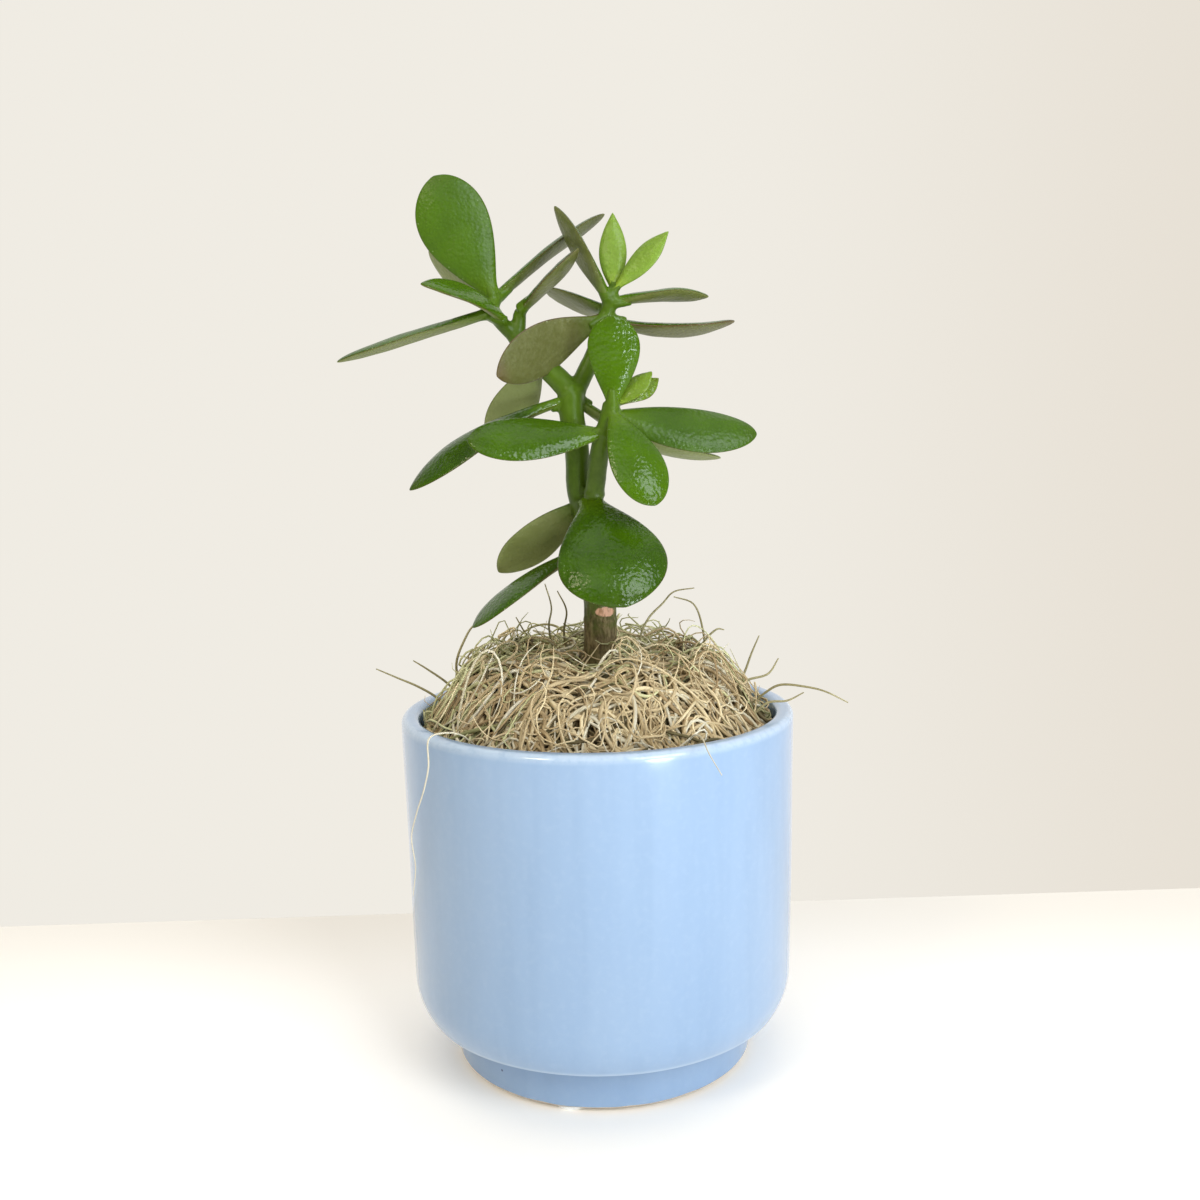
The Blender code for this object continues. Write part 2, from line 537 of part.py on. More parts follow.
def make_moss(collection, cutters):
    """Dried curly moss laid on the soil round the stem: a mat with its strands joined to it."""
    rings = 9
    profile = [(MAT_EDGE_RADIUS * i / rings, MAT_TOP_HEIGHT) for i in range(rings + 1)]
    profile += [(RIM_INNER_RADIUS - 1.5 * MM, SOIL_TOP + 4 * MM)]
    profile += [(RIM_INNER_RADIUS - 2 * MM, SOIL_TOP + SEAT + 0.4 * MM)]
    profile += [(30 * MM, SOIL_TOP + 2 * MM + SEAT), (0, SOIL_TOP + SOIL_CROWN + SEAT)]
    moss = turned("dressing_moss", profile, collection, steps=36)
    apply_modifiers(moss)
    for vert in moss.data.vertices:
        if vert.co.z > MAT_EDGE_HEIGHT:
            lump = noise.noise(Vector((vert.co.x, vert.co.y, 0)) * 150) * MAT_LUMPS
            vert.co.z = mat_height(vert.co.x, vert.co.y) - MAT_SINK + lump
    hole = bmesh.new()
    bmesh.ops.create_cone(hole, cap_ends=True, segments=14, radius1=MAT_HOLE_RADIUS,
                          radius2=MAT_HOLE_RADIUS, depth=60 * MM)
    bmesh.ops.translate(hole, verts=hole.verts, vec=(1.3 * MM, 0, SOIL_TOP))
    cutter = add_object("moss_hole", mesh_from(hole, "moss_hole"), cutters)
    hide_as_guide(cutter)
    cut(moss, cutter)
    draw = random.Random(STRAND_SEED)
    strands = []
    for i in range(STRAND_COUNT):
        strands.append(strand(f"strand_{i}", curly_strand(draw), collection))
    for name, points in LOOSE_STRANDS.items():
        path = [Vector(point) * MM for point in points]
        path[0].z = mat_height(path[0].x, path[0].y) - ROOT_DEPTH
        strands.append(strand(f"strand_{name}", path, collection))
    join_all("dressing_moss", moss, strands, "MANIFOLD")
    keep_largest(moss)
    moss.data.materials.clear()
    moss.data.materials.append(material("dried_moss", (0.34, 0.29, 0.17), 0.85))
    moss.data.shade_smooth()
    moss.data.set_sharp_from_angle(angle=math.radians(25))


def main():
    plant, cutters = start_clean()
    make_pads(plant)
    make_pot(plant)
    make_soil(plant, cutters)
    make_plant(plant, cutters)
    make_moss(plant, cutters)


main()
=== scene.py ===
import math
import random

import bmesh
import bpy
from mathutils import Matrix, Vector, noise


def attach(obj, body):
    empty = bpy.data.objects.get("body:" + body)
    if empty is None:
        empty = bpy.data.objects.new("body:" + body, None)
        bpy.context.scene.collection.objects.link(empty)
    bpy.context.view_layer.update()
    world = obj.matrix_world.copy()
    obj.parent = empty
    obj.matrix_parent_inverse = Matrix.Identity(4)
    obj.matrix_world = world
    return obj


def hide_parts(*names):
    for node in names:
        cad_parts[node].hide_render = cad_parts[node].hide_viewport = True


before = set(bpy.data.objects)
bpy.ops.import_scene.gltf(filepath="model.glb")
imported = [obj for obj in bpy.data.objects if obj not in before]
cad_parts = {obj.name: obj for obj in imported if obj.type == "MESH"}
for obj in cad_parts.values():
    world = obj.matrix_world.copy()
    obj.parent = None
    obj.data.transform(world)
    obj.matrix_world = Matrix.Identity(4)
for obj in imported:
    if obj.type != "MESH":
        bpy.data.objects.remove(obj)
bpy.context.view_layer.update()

# The pot is one piece of thrown and glazed ceramic. Its wall is straight, its shoulder is rounded,
# and it stands on a stepped foot whose lower edge was wiped bare of glaze before firing.
MM = 0.001
POT_FOOT_Z = 1.5 * MM
POT_TOP = POT_FOOT_Z + 116 * MM
RIM_RADIUS = 65 * MM
RIM_INNER_RADIUS = 59 * MM
RIM_ROUNDING = 2.2 * MM
WALL_FOOT_RADIUS = 63.8 * MM
WALL_SWELL = 0.22 * MM
SWELL_FROM_RADIUS = 45 * MM
SHOULDER_Z = POT_FOOT_Z + 28 * MM
SHOULDER_FILLET = 21 * MM
SHOULDER_TURN = 33
STEP_Z = POT_FOOT_Z + 16 * MM
STEP_INSET = 0.4 * MM
STEP_ROUNDING = 0.9 * MM
FOOT_TOP_RADIUS = 50.5 * MM
FOOT_RADIUS = 50 * MM
FOOT_ROUNDING = 1.2 * MM
RECESS_RADIUS = 38 * MM
RECESS_DEPTH = 4 * MM
FLOOR_Z = POT_FOOT_Z + 22 * MM
FLOOR_RADIUS = 44 * MM
FLOOR_FILLET = 14 * MM
POT_STEPS = 180
SPECK_SCALE = 62
SPECK_LEAST_RED = 0.55
GLAZE_BLUE = (0.254, 0.378, 0.565)
GLAZE_THIN_AND_HIGHLIGHT = (0.46, 0.57, 0.70)
GLAZE_POOLED = (0.180, 0.290, 0.450)
GLAZE_SPECK = (0.03, 0.045, 0.12)
BARE_CLAY = (0.70, 0.62, 0.50)
STAINED_CLAY = (0.52, 0.44, 0.34)


def arc_points(center_r, center_z, radius, start, end, count):
    """Points of an arc in the plane of a turned profile, between two angles in degrees."""
    points = []
    for i in range(count + 1):
        angle = math.radians(start + (end - start) * i / count)
        points.append((center_r + radius * math.cos(angle), center_z + radius * math.sin(angle)))
    return points


def evened(points, longest):
    """The same profile with long straight runs split, so that small unevenness can bend them."""
    result = [points[0]]
    for (r0, z0), (r1, z1) in zip(points, points[1:]):
        parts = max(1, math.ceil(math.hypot(r1 - r0, z1 - z0) / longest))
        for i in range(1, parts + 1):
            result.append((r0 + (r1 - r0) * i / parts, z0 + (z1 - z0) * i / parts))
    return result


def spun(profile, steps):
    """A bmesh turned round +Z from a profile of (radius, height) that runs from top to bottom."""
    bm = bmesh.new()
    verts = [bm.verts.new((r, 0, z)) for r, z in profile]
    edges = [bm.edges.new(pair) for pair in zip(verts, verts[1:])]
    bmesh.ops.spin(bm, geom=verts + edges, cent=(0, 0, 0), axis=(0, 0, 1), angle=2 * math.pi,
                   steps=steps, use_merge=True)
    bmesh.ops.remove_doubles(bm, verts=bm.verts, dist=0.00001)
    bmesh.ops.recalc_face_normals(bm, faces=bm.faces)
    return bm


def add_piece(name, bm, material, slot, *nodes, sharp=40):
    """The finished bmesh becomes a piece that rides on the part, in place of the given nodes, which
    it hides.
    """
    mesh = bpy.data.meshes.new(name)
    bm.to_mesh(mesh)
    bm.free()
    mesh.shade_smooth()
    mesh.set_sharp_from_angle(angle=math.radians(sharp))
    mesh.materials.append(material)
    piece = bpy.data.objects.new(name, mesh)
    bpy.context.scene.collection.objects.link(piece)
    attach(piece, "root")
    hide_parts(*nodes)


class Shading:
    """A short way to place shader nodes in one tree and to link their sockets."""

    def __init__(self, tree):
        self.tree = tree

    def node(self, kind, **values):
        """A node with its settings; in_NAME or in_NUMBER gives one of its inputs."""
        made = self.tree.nodes.new(kind)
        for key, value in values.items():
            if key.startswith("in_"):
                label = key[3:].replace("_", " ")
                self.put(made.inputs[int(label) if label.isdigit() else label], value)
            else:
                setattr(made, key, value)
        return made

    def put(self, socket, value):
        """Link a socket to another one, or give it a plain value or colour."""
        if isinstance(value, bpy.types.NodeSocket):
            self.tree.links.new(value, socket)
        elif isinstance(value, tuple) and socket.type == "RGBA" and len(value) == 3:
            socket.default_value = (*value, 1)
        else:
            socket.default_value = value

    def axes(self, vector):
        return self.node("ShaderNodeSeparateXYZ", in_Vector=vector).outputs

    def attribute(self, name):
        return self.node("ShaderNodeAttribute", attribute_type="GEOMETRY",
                         attribute_name=name).outputs

    def vector_math(self, operation, first, second=(0, 0, 0)):
        made = self.node("ShaderNodeVectorMath", operation=operation, in_0=first, in_1=second)
        return made.outputs["Value" if operation == "LENGTH" else "Vector"]

    def noise(self, vector, scale, detail, roughness):
        made = self.node("ShaderNodeTexNoise", in_Vector=vector, in_Scale=scale, in_Detail=detail,
                         in_Roughness=roughness)
        return made.outputs["Fac"]

    def cells(self, vector, scale):
        return self.node("ShaderNodeTexVoronoi", feature="F1", in_Vector=vector,
                         in_Scale=scale).outputs

    def ranged(self, value, low, high, to_low=0.0, to_high=1.0):
        """The value's run from low to high, eased and stretched to run between two others."""
        made = self.node("ShaderNodeMapRange", interpolation_type="SMOOTHSTEP", in_Value=value,
                         in_From_Min=low, in_From_Max=high, in_To_Min=to_low, in_To_Max=to_high)
        return made.outputs["Result"]

    def math(self, operation, first, second, third=0.0):
        made = self.node("ShaderNodeMath", operation=operation, in_0=first, in_1=second, in_2=third)
        return made.outputs["Value"]

    def times(self, first, second):
        return self.math("MULTIPLY", first, second)

    def mix(self, amount, first, second):
        """A colour between two others."""
        return self.node("ShaderNodeMix", data_type="RGBA", in_0=amount, in_6=first,
                         in_7=second).outputs[2]

    def blend(self, amount, first, second):
        """A value between two others."""
        return self.node("ShaderNodeMix", data_type="FLOAT", in_0=amount, in_2=first,
                         in_3=second).outputs[0]

    def bump(self, height, strength, distance, normal=None):
        made = self.node("ShaderNodeBump", in_Height=height, in_Strength=strength,
                         in_Distance=distance)
        if normal:
            self.put(made.inputs["Normal"], normal)
        return made.outputs["Normal"]

    def group(self, tree, **values):
        made = self.node("ShaderNodeGroup", node_tree=tree)
        for key, value in values.items():
            self.put(made.inputs[key.replace("_", " ")], value)
        return made.outputs


def new_material(name):
    """A material, its shading helper, its Principled BSDF and the piece's own coordinates."""
    material = bpy.data.materials.new(name)
    material.use_nodes = True
    shading = Shading(material.node_tree)
    shader = material.node_tree.nodes["Principled BSDF"]
    place = shading.node("ShaderNodeTexCoord").outputs["Object"]
    return material, shading, shader, place


def make_glaze():
    """Light blue gloss glaze, thin and pale on edges, a painted highlight on the rim, pooled below
    the step, darkly specked.
    """
    material, s, shader, place = new_material("pale_blue_glaze_finish")
    height = s.axes(place)["Z"]
    reach = s.vector_math("LENGTH", s.vector_math("MULTIPLY", place, (1, 1, 0)))
    cloud = s.noise(s.vector_math("MULTIPLY", place, (1, 1, 0.35)), 26, 4, 0.55)
    streak = s.noise(s.vector_math("MULTIPLY", place, (1, 1, 0.06)), 150, 2, 0.5)
    fine = s.noise(place, 420, 3, 0.6)
    color = s.mix(s.ranged(cloud, 0.35, 0.7, 0.0, 0.10), GLAZE_BLUE, GLAZE_THIN_AND_HIGHLIGHT)
    color = s.mix(s.ranged(streak, 0.42, 0.75, 0.0, 0.16), color, GLAZE_POOLED)
    color = s.mix(s.ranged(fine, 0.45, 0.75, 0.0, 0.06), color, GLAZE_THIN_AND_HIGHLIGHT)
    # The pale line along the rim's outer corner is a painted highlight, in the colour of thin
    # glaze.
    painted_rim_highlight = s.times(s.ranged(height, POT_TOP - 3.2 * MM, POT_TOP - 0.8 * MM),
                  s.ranged(reach, RIM_RADIUS - 2.6 * MM, RIM_RADIUS - 0.9 * MM))
    painted_rim_highlight = s.times(painted_rim_highlight, s.ranged(fine, 0.2, 0.6, 0.5, 1.0))
    color = s.mix(s.times(painted_rim_highlight, 0.9), color, GLAZE_THIN_AND_HIGHLIGHT)
    step_edge = s.times(s.ranged(height, STEP_Z + 2.2 * MM, STEP_Z + 0.2 * MM),
                        s.ranged(reach, 58.6 * MM, 59.8 * MM))
    color = s.mix(s.times(step_edge, 0.6), color, GLAZE_THIN_AND_HIGHLIGHT)
    foot = s.ranged(height, STEP_Z, STEP_Z - 1 * MM)
    color = s.mix(s.times(foot, 0.10), color, GLAZE_POOLED)
    dots = s.cells(place, SPECK_SCALE)
    chosen = s.node("ShaderNodeSeparateColor", in_0=dots["Color"]).outputs["Red"]
    chosen = s.ranged(chosen, SPECK_LEAST_RED, SPECK_LEAST_RED + 0.03)
    speck = s.times(s.ranged(dots["Distance"], 0.034, 0.014), chosen)
    color = s.mix(s.times(speck, 0.85), color, GLAZE_SPECK)
    wiped_edge = s.math("MULTIPLY_ADD", s.noise(place, 90, 2, 0.5), 1.6 * MM,
                        POT_FOOT_Z - 0.2 * MM)
    bare = s.times(s.math("LESS_THAN", height, wiped_edge),
                   s.math("GREATER_THAN", reach, RECESS_RADIUS - 1 * MM))
    clay_grain = s.ranged(s.noise(place, 1500, 3, 0.7), 0.3, 0.7)
    clay = s.mix(clay_grain, BARE_CLAY, STAINED_CLAY)
    s.put(shader.inputs["Base Color"], s.mix(bare, color, clay))
    gloss = s.ranged(cloud, 0.3, 0.7, 0.10, 0.17)
    s.put(shader.inputs["Roughness"], s.blend(bare, gloss, 0.8))
    shader.inputs["Coat Weight"].default_value = 0.35
    shader.inputs["Coat Roughness"].default_value = 0.05
    wave = s.bump(s.noise(place, 75, 2, 0.45), 0.22, 0.9 * MM)
    pits = s.bump(s.noise(place, 900, 2, 0.5), 0.05, 0.15 * MM, wave)
    s.put(shader.inputs["Normal"], pits)
    return material


rim_z = POT_TOP - RIM_ROUNDING
foot_z = POT_FOOT_Z + FOOT_ROUNDING
recess_z = POT_FOOT_Z + RECESS_DEPTH
outer_profile = [(RIM_INNER_RADIUS + RIM_ROUNDING, POT_TOP)]
outer_profile += arc_points(RIM_RADIUS - RIM_ROUNDING, rim_z, RIM_ROUNDING, 90, 0, 8)
outer_profile += arc_points(WALL_FOOT_RADIUS - SHOULDER_FILLET, SHOULDER_Z, SHOULDER_FILLET,
                            0, -SHOULDER_TURN, 12)
step_radius = outer_profile[-1][0] - STEP_INSET
outer_profile += arc_points(step_radius - STEP_ROUNDING, STEP_Z + STEP_ROUNDING, STEP_ROUNDING,
                            -25, -90, 5)
outer_profile += arc_points(FOOT_TOP_RADIUS + STEP_ROUNDING, STEP_Z - STEP_ROUNDING,
                            STEP_ROUNDING, 90, 180, 4)
outer_profile += arc_points(FOOT_RADIUS - FOOT_ROUNDING, foot_z, FOOT_ROUNDING, 0, -90, 5)
outer_profile += arc_points(RECESS_RADIUS + FOOT_ROUNDING, foot_z, FOOT_ROUNDING, -90, -180, 4)
outer_profile += [(RECESS_RADIUS - 1 * MM, recess_z), (0, recess_z + 0.3 * MM)]
inner_profile = [(0, FLOOR_Z), (FLOOR_RADIUS, FLOOR_Z)]
inner_profile += arc_points(FLOOR_RADIUS, FLOOR_Z + FLOOR_FILLET, FLOOR_FILLET, -80, 0, 6)
inner_profile += [(RIM_INNER_RADIUS - 0.4 * MM, POT_TOP - 30 * MM)]
inner_profile += arc_points(RIM_INNER_RADIUS + RIM_ROUNDING, rim_z, RIM_ROUNDING, 180, 90, 8)
pot_bm = spun(evened(outer_profile, 6 * MM) + evened(inner_profile, 8 * MM), POT_STEPS)
for vert in pot_bm.verts:
    reach = vert.co.xy.length
    if reach > SWELL_FROM_RADIUS:
        spot = Vector((vert.co.x * 14, vert.co.y * 14, vert.co.z * 22))
        vert.co.xy *= 1 + noise.noise(spot) * WALL_SWELL / reach
add_piece("glazed_pot", pot_bm, make_glaze(), "pale_blue_glaze", "pot", sharp=50)


# Three small pads of soft white rubber are stuck under the foot ring, so that the pot doesn't
# scratch what it stands on.
PAD_COUNT = 3
PAD_DIAMETER = 9 * MM
PAD_THICKNESS = 1.2 * MM
PAD_EDGE_ROUNDING = 0.25 * MM
PAD_CIRCLE = 44.5 * MM
PAD_FIRST_ANGLE = 256
PAD_WHITE = (0.90, 0.90, 0.89)
PAD_SHADE = (0.78, 0.78, 0.77)

pad_material, s, shader, place = new_material("white_pad_finish")
grain = s.noise(place, 1600, 3, 0.7)
s.put(shader.inputs["Base Color"], s.mix(s.ranged(grain, 0.3, 0.7), PAD_SHADE, PAD_WHITE))
shader.inputs["Roughness"].default_value = 0.55
s.put(shader.inputs["Normal"], s.bump(grain, 0.3, 0.1 * MM))
for i in range(PAD_COUNT):
    angle = math.radians(PAD_FIRST_ANGLE + 360 * i / PAD_COUNT)
    pad_bm = bmesh.new()
    bmesh.ops.create_cone(pad_bm, cap_ends=True, segments=40, radius1=PAD_DIAMETER / 2,
                          radius2=PAD_DIAMETER / 2, depth=PAD_THICKNESS)
    edges = [edge for edge in pad_bm.edges if len({round(v.co.z, 5) for v in edge.verts}) == 1]
    bmesh.ops.bevel(pad_bm, geom=edges, offset=PAD_EDGE_ROUNDING, affect="EDGES", segments=3,
                    profile=0.5, material=-1)
    pad_place = (math.cos(angle) * PAD_CIRCLE, math.sin(angle) * PAD_CIRCLE, PAD_THICKNESS / 2)
    bmesh.ops.translate(pad_bm, verts=pad_bm.verts, vec=pad_place)
    add_piece(f"stuck_pad_{i + 1}", pad_bm, pad_material, "white_pad", f"foot_pad_{i + 1}")


# The potting soil is dark, crumbly peat, pressed into the pot round the stem. It shows only in
# small gaps between the moss and the rim.
SOIL_TOP = 106 * MM
SOIL_CROWN = 3 * MM
SOIL_WALL_GAP = 0.36 * MM
SOIL_LUMPS = 1.1 * MM
SOIL_DARK = (0.012, 0.009, 0.007)
SOIL_BROWN = (0.060, 0.040, 0.026)
SOIL_FLECK = (0.16, 0.11, 0.07)

soil_material, s, shader, place = new_material("dark_soil_finish")
lumps = s.noise(place, 240, 4, 0.65)
flecks = s.ranged(s.noise(place, 1300, 2, 0.6), 0.66, 0.74)
soil_color = s.mix(s.ranged(lumps, 0.3, 0.7), SOIL_DARK, SOIL_BROWN)
s.put(shader.inputs["Base Color"], s.mix(flecks, soil_color, SOIL_FLECK))
shader.inputs["Roughness"].default_value = 0.95
crumbs = s.bump(s.cells(place, 650)["Distance"], 0.8, 0.8 * MM)
s.put(shader.inputs["Normal"], s.bump(lumps, 0.7, 1.5 * MM, crumbs))
soil_profile = [(0, SOIL_TOP + SOIL_CROWN), (30 * MM, SOIL_TOP + 2 * MM),
                (RIM_INNER_RADIUS - SOIL_WALL_GAP, SOIL_TOP),
                (RIM_INNER_RADIUS - 1 * MM, FLOOR_Z + 16 * MM),
                (FLOOR_RADIUS + 4 * MM, FLOOR_Z + 3 * MM),
                (FLOOR_RADIUS - 1 * MM, FLOOR_Z + 0.3 * MM), (0, FLOOR_Z + 0.3 * MM)]
soil_bm = spun(evened(soil_profile, 1.6 * MM), 150)
for vert in soil_bm.verts:
    if vert.co.z > SOIL_TOP - 3 * MM and vert.co.xy.length < RIM_INNER_RADIUS - 1 * MM:
        vert.co.z += noise.noise(vert.co * 260) * SOIL_LUMPS
add_piece("crumbly_soil", soil_bm, soil_material, "dark_soil", "potting_soil", sharp=60)


# The stem is one growth: a corky trunk that turns green higher up and forks in two, each side
# forking again. Rings show where older pairs of leaves fell, and one fresh scar where a leaf came
# off lately. Each branch is a row of x, y, z and radius in mm, each ring a share of its branch.
STEM_PATHS = {
    "trunk": [(1.0, 0, 70, 5.2), (1.2, 0, 110, 5.4), (1.3, 0, 131, 5.6), (1.6, 0, 152, 5.4),
              (0.6, 0, 167, 5.2), (-1.4, -1, 181, 5.0), (-2.0, -2, 187, 4.4)],
    "left": [(-1.4, -1, 180, 4.0), (-4.6, 0, 189, 3.9), (-4.9, 0, 203, 4.1), (-6.4, 0, 215, 4.1),
             (-6.1, 0, 221, 3.8)],
    "right": [(-1.0, -2, 181, 3.6), (0.6, -6, 190, 3.3), (2.6, -10, 203, 3.1), (5.2, -12, 213, 2.7),
              (6.6, -12, 217, 3.0)],
    "upper_left": [(-6.2, 0, 221, 3.8), (-9.9, 1, 225.5, 3.8), (-13.4, 2, 229, 3.6),
                   (-19.2, 4, 235, 3.3), (-24.3, 5, 240.5, 3.1)],
    "left_twig": [(-23.4, 5, 239, 2.5), (-29.0, 4, 245, 2.4), (-31.6, 4, 248.6, 2.5),
                  (-30.9, 6, 252, 2.5), (-30.6, 7, 254, 2.1)],
    "short_twig": [(-24.2, 5, 239, 2.6), (-23.1, 5, 243, 2.4), (-22.7, 5.4, 247, 2.2),
                   (-22.5, 5, 248.6, 1.7)],
    "upper_right": [(-6.2, 0, 221, 3.5), (-3.8, 2, 224, 3.1), (0, 4, 231.5, 2.8),
                    (3.6, 4, 240, 2.5), (5.9, 3, 247, 2.5), (7.2, 2, 251.5, 2.4),
                    (7.9, 2, 254, 1.9)],
}
STEM_RINGS = [("trunk", 0.46), ("trunk", 0.60), ("trunk", 0.80), ("left", 0.62),
              ("upper_left", 0.06), ("upper_left", 0.55), ("right", 0.22), ("right", 0.62),
              ("upper_right", 0.12), ("upper_right", 0.60), ("left_twig", 0.35)]
RING_HALF_HEIGHT = 0.45 * MM
RING_RELIEF = 0.40 * MM
FRESH_SCAR_PLACE = (3.2 * MM, -4.6 * MM, 150.2 * MM)
BARK_TOP = 168 * MM
BARK_FADE = 16 * MM
BARK_RELIEF = 0.22
SKIN_RELIEF = 0.04
STEM_VOXEL = 0.55 * MM
STEM_GREEN = (0.072, 0.148, 0.003)
STEM_OLD_GREEN = (0.036, 0.064, 0.002)
STEM_LIGHT_FLECK = (0.115, 0.190, 0.020)
STEM_DULL_GREEN = (0.052, 0.095, 0.005)
BARK_CRACK = (0.065, 0.045, 0.020)
BARK_RIDGE = (0.22, 0.175, 0.085)
BARK_GREEN = (0.080, 0.085, 0.018)
FRESH_SCAR = (0.62, 0.36, 0.24)
FRESH_SCAR_DARK = (0.36, 0.20, 0.11)

# Where the leaves grow is told here, because the stem's skin rises round each stalk. Root, tip,
# width and thick are in mm, and face is the way that the upper side looks. peak is where the blade
# is widest, on its way from stalk to tip, and a low round makes blunt ends. arch lifts the middle,
# sweep moves it sideways and cup turns the margins down. tone runs from dark to light green, blush
# is red, pale greys the underside, bloom dulls the gloss, and young picks the young leaf's finish.
LEAF_THICKNESS = 3.4
LEAF_STALK = 0.24
LEAVES = {
    "crown_left_upright": dict(
        root=(-31.8, 4, 254), tip=(-49.2, 6, 291.2), face=(0, -1, 0.1),
        width=23.5, peak=0.64, round=0.52, sweep=0.02, tone=0.85, bloom=1.0),
    "crown_left_back": dict(
        root=(-32.5, 8, 253.5), tip=(-53.5, 22, 270), face=(0.5, 0.6, 0.6),
        width=18, tone=0.6, pale=0.8),
    "crown_left_small": dict(
        root=(-25.4, 1.6, 246.6), tip=(-52, -12, 255.5), face=(0, -0.5, 0.87),
        width=15, peak=0.6, round=0.7, arch=0.11, tone=0.75),
    "crown_left_long": dict(
        root=(-32, 2.6, 247.8), tip=(-80.6, -5, 232.6), face=(0, 0.02, 1),
        width=17, peak=0.6, arch=0.005, tone=0.5, pale=0.5, bloom=0.6),
    "crown_left_rear": dict(
        root=(-29.4, 8, 252.6), tip=(5.6, 18.5, 280.4), face=(-0.62, 0.06, 0.78),
        width=14.5, arch=0.025, tone=0.3, blush=0.25),
    "crown_left_inner": dict(
        root=(-22.2, 4, 248.6), tip=(-3, -10, 265.6), face=(-0.6, 0.1, 0.8),
        width=14, arch=-0.02, round=0.7, tone=0.2, blush=0.5),
    "crown_right_steep": dict(
        root=(6.0, 0.6, 250.8), tip=(-10.2, 2, 280.4), face=(0.8, 0.3, 0.5),
        width=14.5, peak=0.56, round=0.75, tone=0.4, blush=0.2),
    "bud_upright": dict(
        root=(7.9, 4, 254.5), tip=(8.3, 7, 278.8), face=(0, -1, 0), width=9,
        thick=2.4, peak=0.48, round=0.85, young=True, tone=0.6, bloom=0.8),
    "bud_right": dict(
        root=(9.2, 0.6, 254.2), tip=(25.5, -4, 270.9), face=(-0.35, -0.9, 0.3),
        width=8.5, thick=2.4, peak=0.55, round=0.85, young=True, tone=0.75, bloom=0.8),
    "crown_right_flat": dict(
        root=(8.8, 1.4, 249.8), tip=(38.6, 3, 251.4), face=(0, 0.15, 1),
        width=13, arch=0.045, round=0.75, tone=0.7),
    "crown_right_low": dict(
        root=(7.2, 3.4, 244.2), tip=(47.2, 5, 243.6), face=(0, 0.12, 1),
        width=17, arch=-0.07, round=0.65, tone=0.35, blush=0.9),
    "crown_right_back": dict(
        root=(5.6, 4.6, 248), tip=(-13.6, 25, 255.4), face=(0.2, 0.45, 1),
        width=17.5, tone=0.8, blush=0.2),
    "crown_front_turned": dict(
        root=(4, 2, 245), tip=(-29.1, -14, 226.8), face=(-0.35, 0.85, 0.4),
        width=18, arch=0.05, round=0.6, tone=0.0, blush=1.0),
    "middle_rear_turned": dict(
        root=(-15.8, 5, 233.2), tip=(-33.4, 18, 205.6), face=(-0.35, 0.85, 0.3),
        width=16.5, round=0.55, tone=0.7, pale=0.9),
    "middle_left_long": dict(
        root=(-9, 0, 219.4), tip=(-58.7, -8, 191.5), face=(-0.35, -0.5, 0.75),
        width=15, peak=0.68, arch=0.07, round=0.7, tone=0.2, blush=0.3),
    "middle_left_broad": dict(
        root=(4, -11.5, 208.3), tip=(-38.1, -22, 206.6), face=(0, -0.8, 0.6),
        width=17, peak=0.62, round=0.5, tone=0.5),
    "middle_right_rear": dict(
        root=(-4.6, 2.4, 219.6), tip=(43, 12, 199.2), face=(0.3, 0.32, 1),
        width=14, arch=-0.08, tone=0.9, pale=1.0),
    "middle_upright": dict(
        root=(6.8, -13.4, 216.2), tip=(7.2, -15, 244.4), face=(0, -1, 0.05),
        width=16.5, peak=0.66, round=0.5, sweep=-0.02, arch=-0.045, tone=0.95),
    "young_front": dict(
        root=(8, -11, 217.2), tip=(19.4, -9, 227.1), face=(-0.45, -0.8, 0.4),
        width=8, thick=2, peak=0.55, round=0.75, young=True, tone=0.1),
    "young_back": dict(
        root=(8.8, -8.4, 216.4), tip=(21.8, -3, 225.3), face=(-0.3, -0.9, 0.4),
        width=8, thick=2, peak=0.6, round=0.8, young=True, tone=0.0, blush=0.6),
    "middle_right_broad": dict(
        root=(7.8, -11.4, 213.6), tip=(52.9, -6, 207), face=(0, -0.85, 0.55),
        width=16.5, peak=0.57, round=0.5, sweep=-0.03, tone=0.5, bloom=0.8),
    "front_hanging": dict(
        root=(7, -13.8, 214.4), tip=(19.3, -27, 186.2), face=(0.25, -0.9, 0.35),
        width=17.5, peak=0.62, round=0.5, arch=0.04, tone=0.8),
    "low_front": dict(
        root=(-0.9, -4.6, 187), tip=(9.4, -34, 155.8), face=(0.05, -0.8, 0.6),
        width=34.5, thick=4, peak=0.65, round=0.56, arch=0.1, cup=0.12, tone=0.2),
    "low_left_rear": dict(
        root=(-4, 2, 185.6), tip=(-32.4, 10, 162.4), face=(-0.4, 0.8, 0.4),
        width=17, peak=0.58, round=0.6, tone=0.8, pale=0.5),
    "low_left": dict(
        root=(-1, -0.6, 170.6), tip=(-39.6, -12, 147), face=(-0.35, -0.2, 0.9),
        width=17, peak=0.68, round=0.65, arch=0.06, tone=0.35),
}


def smooth_path(points, count):
    """Evenly spread points on a smooth curve through the given ones (Catmull-Rom)."""
    points = [Vector(point) for point in points]
    ends = [points[0] * 2 - points[1]] + points + [points[-1] * 2 - points[-2]]
    result = []
    for i in range(count):
        where = i / (count - 1) * (len(points) - 1)
        k = min(int(where), len(points) - 2)
        t = where - k
        a, b, c, d = ends[k:k + 4]
        result.append(0.5 * (2 * b + (c - a) * t + (2 * a - 5 * b + 4 * c - d) * t * t
                             + (3 * b - a - 3 * c + d) * t * t * t))
    return result


